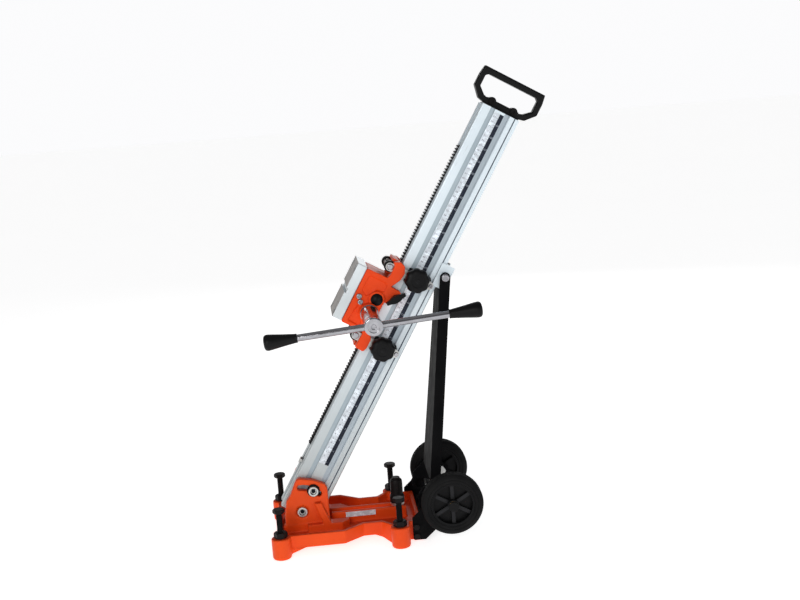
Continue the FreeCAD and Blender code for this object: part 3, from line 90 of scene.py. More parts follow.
COLUMN = placed(PIVOT, ACROSS, FAR, ALONG)


def corners_in(matrix, node):
    """Lowest and highest corner of a CAD node in a local frame, in millimetres."""
    back = matrix.inverted()
    points = [back @ vertex.co for vertex in NODES[node].data.vertices]
    low = Vector([min(point[i] for point in points) for i in range(3)])
    high = Vector([max(point[i] for point in points) for i in range(3)])
    return low, high


# ---------------------------------------------------------------- materials

class Shading:
    """Builds one node material step by step."""

    def __init__(self, name):
        self.material = bpy.data.materials.new(name)
        self.material.use_nodes = True
        self.tree = self.material.node_tree
        self.shader = self.tree.nodes["Principled BSDF"]
        self.place = self.tree.nodes.new("ShaderNodeTexCoord").outputs["Object"]

    def node(self, kind, **values):
        made = self.tree.nodes.new(kind)
        for key, value in values.items():
            setattr(made, key, value)
        return made

    def link(self, source, target):
        self.tree.links.new(source, target)

    def stretched(self, scale, lean=0.0):
        """Object coordinates turned about Y by lean, then scaled axis by axis."""
        turn = self.node("ShaderNodeMapping", vector_type="TEXTURE")
        turn.inputs["Rotation"].default_value = (0, lean, 0)
        self.link(self.place, turn.inputs["Vector"])
        size = self.node("ShaderNodeMapping")
        size.inputs["Scale"].default_value = scale
        self.link(turn.outputs[0], size.inputs["Vector"])
        return size.outputs[0]

    def on_column(self):
        """Coordinates in the column frame, in millimetres."""
        turn = self.node("ShaderNodeMapping", vector_type="TEXTURE")
        turn.inputs["Location"].default_value = PIVOT
        turn.inputs["Rotation"].default_value = (0, TILT, 0)
        turn.inputs["Scale"].default_value = (MM, MM, MM)
        self.link(self.place, turn.inputs["Vector"])
        return turn.outputs[0]

    def axes(self, vector):
        parts = self.node("ShaderNodeSeparateXYZ")
        self.link(vector, parts.inputs[0])
        return parts.outputs

    def near(self, centre, radius):
        """One within a radius of a point given in the column frame."""
        reach = self.node("ShaderNodeVectorMath", operation="DISTANCE")
        self.link(self.on_column(), reach.inputs[0])
        reach.inputs[1].default_value = centre
        return self.within(reach.outputs["Value"], -radius, radius)

    def within(self, source, low, high):
        """One between two values and nought elsewhere."""
        made = self.node("ShaderNodeMath", operation="COMPARE")
        self.link(source, made.inputs[0])
        made.inputs[1].default_value = (low + high) / 2
        made.inputs[2].default_value = (high - low) / 2
        return made.outputs[0]

    def noise(self, scale, detail=4, roughness=0.55, coordinates=None):
        made = self.node("ShaderNodeTexNoise")
        made.inputs["Scale"].default_value = scale
        made.inputs["Detail"].default_value = detail
        made.inputs["Roughness"].default_value = roughness
        self.link(coordinates or self.place, made.inputs["Vector"])
        return made.outputs["Fac"]

    def spread(self, source, low, high, start=0.3, end=0.7):
        made = self.node("ShaderNodeMapRange")
        made.inputs["From Min"].default_value = start
        made.inputs["From Max"].default_value = end
        made.inputs["To Min"].default_value = low
        made.inputs["To Max"].default_value = high
        self.link(source, made.inputs["Value"])
        return made.outputs[0]

    def times(self, first, second):
        made = self.node("ShaderNodeMath", operation="MULTIPLY")
        self.link(first, made.inputs[0])
        self.link(second, made.inputs[1])
        return made.outputs[0]

    def blend(self, share, first, second):
        """Mix of two colours, each a colour or the output of another blend."""
        made = self.node("ShaderNodeMix", data_type="RGBA")
        self.link(share, made.inputs[0])
        for value, target in ((first, made.inputs[6]), (second, made.inputs[7])):
            if isinstance(value, tuple):
                target.default_value = (*value, 1)
            else:
                self.link(value, target)
        return made.outputs[2]

    def edges(self, low=0.52, high=0.6):
        """A mask of the sharp outer edges."""
        geometry = self.node("ShaderNodeNewGeometry")
        return self.spread(geometry.outputs["Pointiness"], 0, 1, low, high)

    def hollows(self, low=0.48, high=0.4):
        """A mask of the inner corners."""
        geometry = self.node("ShaderNodeNewGeometry")
        return self.spread(geometry.outputs["Pointiness"], 0, 1, low, high)

    def facing_up(self):
        geometry = self.node("ShaderNodeNewGeometry")
        parts = self.node("ShaderNodeSeparateXYZ")
        self.link(geometry.outputs["Normal"], parts.inputs[0])
        return self.spread(parts.outputs["Z"], 0, 1, 0.6, 1.0)

    def bump(self, *layers):
        """Stacked bumps: each layer is a height, its depth in metres and its strength."""
        normal = None
        for height, depth, strength in layers:
            made = self.node("ShaderNodeBump")
            made.inputs["Distance"].default_value = depth
            made.inputs["Strength"].default_value = strength
            self.link(height, made.inputs["Height"])
            if normal:
                self.link(normal, made.inputs["Normal"])
            normal = made.outputs[0]
        self.link(normal, self.shader.inputs["Normal"])

    def finish(self, colour, roughness, metal=0.0, coat=0.0, specular=0.5):
        self.link(colour, self.shader.inputs["Base Color"])
        self.link(roughness, self.shader.inputs["Roughness"])
        self.shader.inputs["Metallic"].default_value = metal
        self.shader.inputs["Coat Weight"].default_value = coat
        self.shader.inputs["Coat Roughness"].default_value = 0.22
        self.shader.inputs["Specular IOR Level"].default_value = specular
        return self.material


SCUFFED_PAINT = (0.66, 0.24, 0.14)
# Painted shade: a darker red for the paint in inner corners and hollows.
SHADE_IN_HOLLOWS = (0.16, 0.022, 0.01)
# Painted shade: a darker red for paint on faces that look up.
SHADED_PAINT = (0.5, 0.03, 0.009)
SCRATCHED_METAL = (0.34, 0.36, 0.38)
# A darker tone towards the bottom of the column, and the heights over which it fades.
DARKER_LOW_TONE = (0.27, 0.27, 0.24)
DARKENING_HEIGHTS = (60, 560)
SETTLED_DUST = (0.09, 0.085, 0.08)
# Painted highlight colour for lighter bands on black plastic.
PLASTIC_HIGHLIGHT = (0.018, 0.018, 0.020)
# Painted shade colour for the inside of hex sockets.
SOCKET_SHADE = (0.012, 0.014, 0.018)


def painted_casting(name, fresh, deep):
    """Sprayed paint over a sand casting: orange peel, faint grain, scuffed edges, painted shade in hollows and on
    faces that look up.
    """
    make = Shading(name)
    tone = make.blend(make.spread(make.noise(9), 0, 1), fresh, deep)
    specks = make.spread(make.noise(420, 2), 0, 0.5, 0.62, 0.72)
    tone = make.blend(specks, tone, tuple(0.8 * value for value in deep))
    scuffs = make.times(make.edges(0.53, 0.62), make.spread(make.noise(70), 0, 0.55, 0.5, 0.68))
    tone = make.blend(scuffs, tone, SCUFFED_PAINT)
    # Painted shade in inner corners and hollows.
    hollow_shade = make.times(make.hollows(), make.spread(make.noise(45), 0.1, 0.6))
    tone = make.blend(hollow_shade, tone, SHADE_IN_HOLLOWS)
    # Painted shade on faces that look up.
    shade = make.times(make.facing_up(), make.spread(make.noise(28), 0.3, 0.6))
    tone = make.blend(shade, tone, SHADED_PAINT)
    make.bump((make.noise(55, 3), 0.0006, 0.25), (make.noise(620, 2), 0.00012, 0.35))
    return make.finish(tone, make.spread(make.noise(34), 0.34, 0.52), coat=0.02, specular=0.16)


def worn_metal(name, fresh, deep, roughness, scale=60, grain=900, depth=0.00005, metal=1.0,
               specular=0.5, sockets=()):
    """Machined or plated metal with handling marks; sockets get painted shade in their key holes."""
    make = Shading(name)
    tone = make.blend(make.spread(make.noise(scale), 0, 1), fresh, deep)
    spots = make.spread(make.noise(scale * 6, 3), 0, 0.35, 0.58, 0.72)
    tone = make.blend(spots, tone, tuple(0.55 * value for value in deep))
    # Painted shade inside the hex sockets.
    for centre, radius in sockets:
        tone = make.blend(make.near(centre, radius), tone, SOCKET_SHADE)
    make.bump((make.noise(grain, 3), depth, 0.3))
    return make.finish(tone, make.spread(make.noise(scale * 1.7), *roughness), metal=metal,
                       specular=specular)


def drawn_metal(name, fresh, deep, roughness, metal, fine=900, along=5.0, painted_shade_regions=()):
    """Metal with fine lines along the column, from drawing or milling.

    A painted shade region is a range across the column, a half width and the painted shade colour used there."""
    make = Shading(name)
    lines = make.noise(1.0, 3, 0.6, make.stretched((fine, fine, along), TILT))
    broad = make.noise(1.0, 2, 0.5, make.stretched((120, 120, 1.6), TILT))
    cloud = make.noise(7)
    tone = make.blend(make.spread(lines, 0, 0.6), fresh, deep)
    tone = make.blend(make.spread(broad, 0, 0.45), tone, tuple(1.06 * value for value in deep))
    tone = make.blend(make.spread(cloud, 0, 0.3), tone, tuple(0.86 * value for value in deep))
    across, sideways, height = make.axes(make.on_column())
    # Darker towards the bottom of the column.
    tone = make.blend(make.spread(height, 0.55, 0, *DARKENING_HEIGHTS), tone, DARKER_LOW_TONE)
    # Painted shade: darker colour laid on the given regions of the column frame.
    for start, end, half, colour in painted_shade_regions:
        inside = make.times(make.within(across, start, end), make.within(sideways, -half, half))
        tone = make.blend(make.times(inside, make.spread(cloud, 0.8, 1.0)), tone, colour)
    scratches = make.noise(1.0, 5, 0.7, make.stretched((260, 260, 30), TILT))
    marks = make.spread(scratches, 0, 0.4, 0.64, 0.7)
    tone = make.blend(marks, tone, SCRATCHED_METAL)
    make.bump((lines, 0.00003, 0.35), (broad, 0.00006, 0.2))
    return make.finish(tone, make.spread(lines, *roughness), metal=metal)


def moulded(name, fresh, deep, roughness, grain=700, depth=0.00012, dust=0.2, specular=0.5,
            highlight_sides=()):
    """Moulded plastic or rubber with a fine skin, a little dust and worn edges.

    Highlight sides are ranges of Y in metres where a painted highlight lightens the surface."""
    make = Shading(name)
    tone = make.blend(make.spread(make.noise(18), 0, 1), fresh, deep)
    # Painted highlight: lighter bands across given ranges of Y.
    for low, high in highlight_sides:
        side = make.within(make.axes(make.place)[1], low, high)
        tone = make.blend(side, tone, PLASTIC_HIGHLIGHT)
    rubbed = make.times(make.edges(), make.spread(make.noise(110), 0, 0.5, 0.45, 0.7))
    tone = make.blend(rubbed, tone, tuple(2.6 * value + 0.01 for value in fresh))
    settled = make.times(make.facing_up(), make.spread(make.noise(60), 0, dust, 0.4, 0.7))
    tone = make.blend(settled, tone, SETTLED_DUST)
    make.bump((make.noise(grain, 3), depth, 0.35), (make.noise(90, 2), 0.0003, 0.12))
    return make.finish(tone, make.spread(make.noise(40), *roughness), specular=specular)


# Painted shade spots for the hinge bolts' hex sockets: centres in the column frame and radii.
HINGE_SOCKETS = (((0, -50.5, 0), 6.5), ((0, -57.0, 48.6), 6.5))
HALF_WIDTH = 31
GROOVE_HALF = 29.3
MATERIALS = {
    "cast_orange": painted_casting("paint_base", (0.88, 0.086, 0.010), (0.79, 0.066, 0.007)),
    "carriage_orange": painted_casting("paint_carriage", (0.89, 0.072, 0.009), (0.80, 0.056, 0.006)),
    "column_aluminium": drawn_metal("anodised_column", (0.78, 0.86, 0.91), (0.66, 0.75, 0.81),
                                    (0.34, 0.48), 0.45, painted_shade_regions=(
                                        # Painted shade in the side grooves, a grey painted shade band beside the
                                        # ruler and a painted shadow line in the narrow groove.
                                        (-38, 36, GROOVE_HALF, (0.36, 0.43, 0.48)),
                                        (7.4, 19.2, HALF_WIDTH, (0.40, 0.46, 0.51)),
                                        (28.1, 30.4, HALF_WIDTH, (0.05, 0.065, 0.11)),
                                    )),
    "plain_steel": worn_metal("zinc_steel", (0.62, 0.62, 0.60), (0.47, 0.47, 0.46), (0.26, 0.42),
                              sockets=HINGE_SOCKETS),
    "dark_steel": worn_metal("black_oxide", (0.012, 0.010, 0.010), (0.006, 0.005, 0.005),
                             (0.36, 0.54), metal=0.1, specular=0.1),
    "black_paint": moulded("powder_coat", (0.0035, 0.0035, 0.004), (0.006, 0.006, 0.0065),
                           (0.5, 0.62), grain=1400, depth=0.0001, dust=0.02, specular=0.02),
    "bright_steel": worn_metal("bright_plate", (0.42, 0.42, 0.45), (0.32, 0.32, 0.34),
                               (0.12, 0.22), grain=300, depth=0.00002),
    "plate_aluminium": drawn_metal("milled_plate", (0.80, 0.86, 0.89), (0.70, 0.76, 0.80),
                                   (0.32, 0.44), 0.45, fine=1300, along=16.0,
                                   # Painted shade and painted reflection on the plate's front face.
                                   painted_shade_regions=((-125, -120.2, 60, (0.16, 0.125, 0.10)),)),
    "black_plastic": moulded("moulded_black", (0.0035, 0.0035, 0.004), (0.006, 0.006, 0.0065),
                             (0.34, 0.46), dust=0.03, specular=0.13),
    "tyre_rubber": moulded("tyre_black", (0.007, 0.007, 0.0075), (0.013, 0.013, 0.013), (0.55, 0.75),
                           grain=480, depth=0.0002, dust=0.04, specular=0.05),
    "ruler_foil": moulded("foil_white", (0.66, 0.71, 0.76), (0.58, 0.64, 0.70), (0.34, 0.46),
                          grain=1200, depth=0.00003, dust=0.05, specular=0.3),
    "bronze": worn_metal("sintered_bronze", (0.50, 0.30, 0.12), (0.36, 0.21, 0.08), (0.34, 0.5)),
}
# Wheel rims, with painted highlights on the spoke and rim faces.
RIM_BLACK = moulded("rim_black", (0.0025, 0.0025, 0.003), (0.004, 0.004, 0.0045), (0.34, 0.46),
                    grain=900, depth=0.00008, dust=0.02, specular=0.12,
                    highlight_sides=((-0.1395, -0.1375), (-0.1285, -0.1275),
                                  (0.1275, 0.1285), (0.1375, 0.1395)))
FOIL_BLACK = moulded("foil_black", (0.006, 0.009, 0.020), (0.010, 0.014, 0.027), (0.34, 0.46),
                     grain=1200, depth=0.00003, dust=0.05, specular=0.2)
PRINT_DARK = moulded("print_dark", (0.06, 0.07, 0.12), (0.09, 0.10, 0.15), (0.4, 0.5), dust=0.02)
PRINT_LIGHT = moulded("print_light", (0.42, 0.46, 0.52), (0.34, 0.38, 0.44), (0.4, 0.5), dust=0.02)


# ---------------------------------------------------------------- mesh tools

def skin(built, rings, closed=False):
    """Faces between rings of points; the ends are capped unless the rings close up."""
    rows = [[built.verts.new(point) for point in ring] for ring in rings]
    pairs = list(zip(rows, rows[1:]))
    if closed:
        pairs.append((rows[-1], rows[0]))
    count = len(rows[0])
    for lower, upper in pairs:
        for index in range(count):
            after = (index + 1) % count
            built.faces.new((lower[index], lower[after], upper[after], upper[index]))
    if not closed:
        built.faces.new(list(reversed(rows[0])))
        built.faces.new(rows[-1])


def softened(corners, steps=4):
    """A profile of (radius, height, rounding) with its corners rounded."""
    points = []
    for index, (radius, height, rounding) in enumerate(corners):
        here = Vector((radius, height))
        if rounding <= 0 or index in (0, len(corners) - 1):
            points.append(tuple(here))
            continue
        before = Vector(corners[index - 1][:2])
        after = Vector(corners[index + 1][:2])
        reach = min(rounding, 0.48 * (before - here).length, 0.48 * (after - here).length)
        start = here + (before - here).normalized() * reach
        end = here + (after - here).normalized() * reach
        for step in range(steps + 1):
            share = step / steps
            point = start * (1 - share) ** 2 + here * 2 * share * (1 - share) + end * share ** 2
            points.append(tuple(point))
    return points


def lathe(built, profile, steps=64, shape=None, closed=False):
    """Turns a profile of (radius, height) about local Z. shape may bend each point."""
    rings = []
    for radius, height in profile:
        ring = []
        for step in range(steps):
            turn = 2 * math.pi * step / steps
            across, upward = shape(radius, height, turn) if shape else (radius, height)
            ring.append((across * math.cos(turn), across * math.sin(turn), upward))
        rings.append(ring)
    skin(built, rings, closed)


def hex_radius(corner, turn):
    sixth = math.pi / 3
    return corner * math.cos(sixth / 2) / math.cos(turn % sixth - sixth / 2)


HEX_CHAMFER_START = 0.845
HEX_CHAMFER_SLOPE = 0.577
HEX_STEPS = 96
THREAD_ROWS = 8
THREAD_STEPS = 36


def hexagon(built, corner, low, high, bore=None):
    """A hexagon with the usual chamfered corners, and a bore if one is given."""
    circle = corner * HEX_CHAMFER_START

    def shape(kind, _height, turn):
        radius = hex_radius(corner, turn)
        drop = max(0.0, radius - circle) * HEX_CHAMFER_SLOPE
        table = {
            0: (min(radius, circle), low), 1: (radius, low + drop + 0.15),
            2: (radius, high - drop - 0.15), 3: (min(radius, circle), high),
            4: (bore or 0, high), 5: (bore or 0, low),
        }
        return table[kind]

    kinds = [0, 1, 2, 3] if bore is None else [5, 0, 1, 2, 3, 4]
    lathe(built, [(kind, 0) for kind in kinds], HEX_STEPS, shape, closed=bore is not None)


def threaded(built, radius, depth, pitch, low, high):
    """A rod with a helical thread between two heights."""
    rows = int((high - low) / pitch * THREAD_ROWS)

    def shape(_radius, height, turn):
        wave = 0.5 + 0.5 * math.cos(2 * math.pi * (height / pitch - turn / (2 * math.pi)))
        end = min(1.0, (height - low) / pitch, (high - height) / pitch)
        return radius - depth * wave * max(end, 0.0) - 0.6 * depth * (1 - max(end, 0.0)), height

    profile = [(radius, low + (high - low) * row / rows) for row in range(rows + 1)]
    lathe(built, profile, THREAD_STEPS, shape)


def slab(built, low, high):
    """A block between two corners."""
    for vertex in bmesh.ops.create_cube(built, size=1.0)["verts"]:
        vertex.co = [low[i] + (vertex.co[i] + 0.5) * (high[i] - low[i]) for i in range(3)]


SHARP_ANGLE = math.radians(32)
FLAT_ANGLE = math.radians(0.6)
BEVEL_ANGLE = math.radians(28)
WELD_REACH = 0.01 * MM


def add_piece(name, built, matrix, node, material=None):
    """Turns a drawn mesh into a piece that stands for a CAD node and rides on its body."""
    mesh = bpy.data.meshes.new(name)
    bmesh.ops.recalc_face_normals(built, faces=built.faces)
    built.to_mesh(mesh)
    built.free()
    mesh.transform(matrix)
    mesh.polygons.foreach_set("use_smooth", [True] * len(mesh.polygons))
    mesh.set_sharp_from_angle(angle=SHARP_ANGLE)
    mesh.materials.append(material or MATERIALS[SLOT_OF[node]])
    return linked_piece(name, mesh, node)


def linked_piece(name, mesh, node):
    """Puts a mesh in the scene as the piece that stands for a CAD node."""
    item = bpy.data.objects.new(name, mesh)
    bpy.context.scene.collection.objects.link(item)
    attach(item, BODY_OF[node])
    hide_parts(node)
    return item


def crisp(item, width):
    """Small machined edges on a CAD shape, with even shading of its flats."""
    weld = item.modifiers.new("weld", "WELD")
    weld.merge_threshold = WELD_REACH
    flats = item.modifiers.new("flats", "DECIMATE")
    flats.decimate_type = "DISSOLVE"
    flats.angle_limit = FLAT_ANGLE
    bevel = item.modifiers.new("edges", "BEVEL")
    bevel.width = width * MM
    bevel.segments = 2
    bevel.limit_method = "ANGLE"
    bevel.angle_limit = BEVEL_ANGLE
    bevel.miter_outer = "MITER_ARC"
    bevel.use_clamp_overlap = True
    shade = item.modifiers.new("shade", "WEIGHTED_NORMAL")
    shade.keep_sharp = False
    shade.weight = 80


def cast_copy(node, voxel, rounds):
    """A casting or moulding: the CAD shape with softened edges, as a mould leaves them."""
    name = f"{node}_detail"
    mesh = NODES[node].data.copy()
    mesh.name = name
    mesh.materials.clear()
    mesh.materials.append(MATERIALS[SLOT_OF[node]])
    item = linked_piece(name, mesh, node)
    skin_over = item.modifiers.new("skin", "REMESH")
    skin_over.mode = "VOXEL"
    skin_over.voxel_size = voxel * MM
    skin_over.use_smooth_shade = True
    soften = item.modifiers.new("soften", "SMOOTH")
    soften.factor = 0.5
    soften.iterations = rounds


# ---------------------------------------------------------------- camera, floor, light

CAMERA_PLACE = (-0.020, -2.499, 0.905)
CAMERA_ANGLES = (4.01, 9.98, -4.22)
LENS = 58.18
LIGHTS = {
    "key": ((-1.0, -2.9, 1.35), 1.2, 30, (1.0, 0.99, 0.965)),
    "fill": ((2.0, -2.3, 0.9), 1.6, 9, (0.96, 0.98, 1.0)),
    "back": ((0.8, 2.5, 1.5), 1.6, 12, (1.0, 1.0, 1.0)),
}
LIGHT_AIM = Vector((0.05, 0, 0.45))
SKY_STOPS = ((0.0, 0.97), (0.07, 0.97), (0.15, 0.2), (0.6, 0.12), (0.9, 0.3))
FLOOR_GLOW = 0.76


def add_camera():
    """The photograph's viewpoint: azimuth, elevation and slight roll, in degrees."""
    azimuth, elevation, roll = (math.radians(value) for value in CAMERA_ANGLES)
    forward = Vector((math.sin(azimuth) * math.cos(elevation),
                      math.cos(azimuth) * math.cos(elevation), -math.sin(elevation)))
    level = forward.cross(UP).normalized()
    upright = level.cross(forward)
    right = level * math.cos(roll) + upright * math.sin(roll)
    top = upright * math.cos(roll) - level * math.sin(roll)
    data = bpy.data.cameras.new("camera")
    data.lens = LENS
    data.sensor_width = 36.0
    data.clip_start = 0.05
    data.clip_end = 100.0
    camera = bpy.data.objects.new("camera", data)
    bpy.context.scene.collection.objects.link(camera)
    camera.matrix_world = Matrix.Translation(CAMERA_PLACE) @ \
        Matrix((right, top, -forward)).transposed().to_4x4()
    bpy.context.scene.camera = camera


def add_light(name, place, size, power, tint):
    data = bpy.data.lights.new(name, "AREA")
    data.shape = "DISK"
    data.size = size
    data.energy = power
    data.color = tint
    lamp = bpy.data.objects.new(name, data)
    bpy.context.scene.collection.objects.link(lamp)
    lamp.location = place
    lamp.rotation_mode = "QUATERNION"
    lamp.rotation_quaternion = (LIGHT_AIM - Vector(place)).to_track_quat("-Z", "Y")


def add_studio():
    """Three soft lamps and a sky that is bright only near the horizon."""
    for name, (place, size, power, tint) in LIGHTS.items():
        add_light(name, place, size, power, tint)
    world = bpy.data.worlds.new("studio")
    bpy.context.scene.world = world
    world.use_nodes = True
    tree = world.node_tree
    where = tree.nodes.new("ShaderNodeTexCoord")
    parts = tree.nodes.new("ShaderNodeSeparateXYZ")
    tree.links.new(where.outputs["Generated"], parts.inputs[0])
    ramp = tree.nodes.new("ShaderNodeValToRGB")
    marks = ramp.color_ramp.elements
    for index, (height, level) in enumerate(SKY_STOPS):
        mark = marks[index] if index < 2 else marks.new(height)
        mark.position = height
        mark.color = (level, level, level * 1.01, 1)
    tree.links.new(parts.outputs["Z"], ramp.inputs[0])
    tree.links.new(ramp.outputs[0], tree.nodes["Background"].inputs["Color"])
    bpy.context.scene.view_settings.view_transform = "Standard"


def add_floor():
    """A pale floor that glows a little, so that it stays as light as the sky."""
    built = bmesh.new()
    bmesh.ops.create_grid(built, x_segments=8, y_segments=8, size=20)
    mesh = bpy.data.meshes.new("floor")
    built.to_mesh(mesh)
    built.free()
    make = Shading("floor_pale")
    tone = make.blend(make.spread(make.noise(1.3), 0, 1), (0.90, 0.90, 0.90), (0.87, 0.87, 0.87))
    make.shader.inputs["Emission Color"].default_value = (1, 1, 1, 1)
    make.shader.inputs["Emission Strength"].default_value = FLOOR_GLOW
    mesh.materials.append(make.finish(tone, make.spread(make.noise(3), 0.6, 0.75), specular=0.1))
    floor = bpy.data.objects.new("floor", mesh)
    bpy.context.scene.collection.objects.link(floor)


# ---------------------------------------------------------------- base pieces

SCREW_RADIUS, THREAD_DEPTH, THREAD_PITCH = 6.0, 0.75, 1.75
SCREW_HEAD, LOCK_NUT, LOCK_NUT_BORE = 11.8, 13.3, 6.3


def levelling_screws():
    """Threaded screws with a hexagon head on a thin collar."""
    for end in ("front", "rear"):
        for side in ("near", "far"):
            node = f"levelling_screw_{end}_{side}"
            low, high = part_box(node)
            middle = (low + high) / 2
            top = high.z / MM
            built = bmesh.new()
            threaded(built, SCREW_RADIUS, THREAD_DEPTH, THREAD_PITCH, low.z / MM + 2.6, top - 7)
            lathe(built, softened([(0.01, low.z / MM, 0), (4.3, low.z / MM, 0.4),
                                   (5.2, low.z / MM + 1.4, 0.3), (5.2, low.z / MM + 3, 0)]), 36)
            hexagon(built, SCREW_HEAD, top - 8, top)
            lathe(built, [(6.9, top - 8.6), (8.6, top - 8.6), (8.9, top - 7.9)], 48)
            add_piece(f"{node}_detail", built, upright_at(middle), node)


def lock_nuts():
    built = bmesh.new()
    low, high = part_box("levelling_lock_nuts")
    for end in ("front", "rear"):
        for side in ("near", "far"):
            first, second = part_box(f"levelling_screw_{end}_{side}")
            middle = (first + second) / 2 / MM
            nut = bmesh.new()
            hexagon(nut, LOCK_NUT, low.z / MM, high.z / MM, bore=LOCK_NUT_BORE)
            for vertex in nut.verts:
                vertex.co += Vector((middle.x, middle.y, 0))
            merge(built, nut)
    add_piece("levelling_lock_nuts_detail", built, Matrix.Scale(MM, 4), "levelling_lock_nuts")


def merge(target, source):
    """Adds one drawn mesh to another."""
    mesh = bpy.data.meshes.new("part")
    source.to_mesh(mesh)
    source.free()
    target.from_mesh(mesh)
    bpy.data.meshes.remove(mesh)


def anchor_post():
    """The long anchor nut: a collar, a plain body and a domed top."""
    low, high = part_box("anchor_nut")
    middle = (low + high) / 2
    bottom, top = low.z / MM, high.z / MM
    built = bmesh.new()
    profile = softened([
        (8.2, bottom + 0.6, 0.3), (9, bottom, 0.3), (14.2, bottom, 1.0), (14.7, bottom + 2, 0.8),
        (14.7, bottom + 13, 1.6), (13.4, bottom + 16, 1.2), (12.5, bottom + 16.5, 0.6),
        (12.5, top - 5, 2.5), (11.2, top - 1.4, 2.0), (9.4, top, 0.6), (8.2, top - 0.8, 0.2),
    ])
    lathe(built, profile, 72, closed=True)
    add_piece("anchor_nut_detail", built, upright_at(middle), "anchor_nut")


# ---------------------------------------------------------------- wheels

def wheels():
    """Solid tyres: four grooves in the tread and a lip on each side."""
    tread = []
    for height in (-6.2, -2.1, 2.1, 6.2):
        tread += [(59.9, height - 0.9, 0.3), (58.9, height - 0.5, 0.2),
                  (58.9, height + 0.5, 0.2), (59.9, height + 0.9, 0.3)]
    shoulder = [(42.2, -13.4, 0), (44.6, -14.9, 0.8), (48.6, -14.9, 0.5), (49.4, -14.0, 0.4),
                (50.2, -14.9, 0.5), (53.0, -14.6, 2.0), (57.8, -11.6, 2.5), (59.9, -9.2, 1.0)]
    other = [(radius, -height, rounding) for radius, height, rounding in reversed(shoulder)]
    for side in ("near", "far"):
        centre = Vector(JOINTS[f"wheel_{side}_roll"]["pos_m"])
        built = bmesh.new()
        lathe(built, softened(shoulder + tread + other, 3), 160, closed=True)
        add_piece(f"tyre_{side}", built, frame_on(centre, FAR), f"wheel_tyre_{side}")


# ---------------------------------------------------------------- column pieces

WHITE_SHARE = 0.6
DIGIT_HEIGHT, DIGIT_DROP, DIGIT_ADVANCE = 3.4, 1.4, 0.56
PRINT_OUTER, PRINT_INNER, FOIL_FACE = 0.03, 0.1, 0.08
FIRST_MARK, MARK_STEP, INCH = 6, 5, 25.4


def ruler():
    """Foil with plain marks: centimetres on the white half, inches on the black half."""
    low, high = corners_in(COLUMN, "ruler_strip")
    split = low.x + WHITE_SHARE * (high.x - low.x)
    face, back = low.y, high.y
    strips = {
        "ruler_white": (low.x, split, MATERIALS["ruler_foil"]),
        "ruler_black": (split, high.x, FOIL_BLACK),
    }
    for name, (start, end, material) in strips.items():
        built = bmesh.new()
        slab(built, (start, face + FOIL_FACE, low.z), (end, back, high.z))
        piece = add_piece(name, built, COLUMN, "ruler_strip", material)
        crisp(piece, 0.06)
    dark, light = bmesh.new(), bmesh.new()
    digits = digit_outlines()
    first = low.z + FIRST_MARK
    length = high.z - first - FIRST_MARK
    outer, inner = face + PRINT_OUTER, face + PRINT_INNER
    for index in range(int(length / MARK_STEP) + 1):
        height = first + MARK_STEP * index
        long = index % 2 == 0
        slab(dark, (split - (4.2 if long else 2.6), outer, height - 0.22),
             (split - 0.3, inner, height + 0.22))
        if long and index:
            write(dark, digits, str(index // 2), (low.x + 4.3, outer, height - DIGIT_DROP))
    for index in range(int(length / INCH) + 1):
        height = first + INCH * index
        slab(light, (split + 0.4, outer, height - 0.25), (split + 2.4, inner, height + 0.25))
        if index:
            write(light, digits, str(index), (split + 5.2, outer, height - DIGIT_DROP))
    add_piece("ruler_marks_dark", dark, COLUMN, "ruler_strip", PRINT_DARK)
    add_piece("ruler_marks_light", light, COLUMN, "ruler_strip", PRINT_LIGHT)


def digit_outlines():
    """Flat meshes of the ten digits in plain type, one unit high."""
    shapes = {}
    for digit in "0123456789":
        curve = bpy.data.curves.new("digit", "FONT")
        curve.body = digit
        curve.resolution_u = 3
        text = bpy.data.objects.new("digit", curve)
        bpy.context.scene.collection.objects.link(text)
        bpy.context.view_layer.update()
        mesh = bpy.data.meshes.new_from_object(text)
        points = [tuple(vertex.co[:2]) for vertex in mesh.vertices]
        faces = [tuple(polygon.vertices) for polygon in mesh.polygons]
        shapes[digit] = (points, faces)
        bpy.data.objects.remove(text)
        bpy.data.meshes.remove(mesh)
        bpy.data.curves.remove(curve)
    return shapes


def write(built, shapes, text, centre):
    """Draws digits on the near face: to the right is +X, upwards is +Z."""
    scale = DIGIT_HEIGHT / 0.7
    for place, digit in enumerate(text):
        shift = (place - len(text) / 2) * DIGIT_ADVANCE
        points, faces = shapes[digit]
        made = [built.verts.new((centre[0] + (x + shift) * scale, centre[1], centre[2] + z * scale))
                for x, z in points]
        for face in faces:
            built.faces.new([made[index] for index in face])


# ---------------------------------------------------------------- carriage pieces

KNOB_LOBES = 8
KNOB_HIGH = 24
LOBE_DEPTH = 1.7


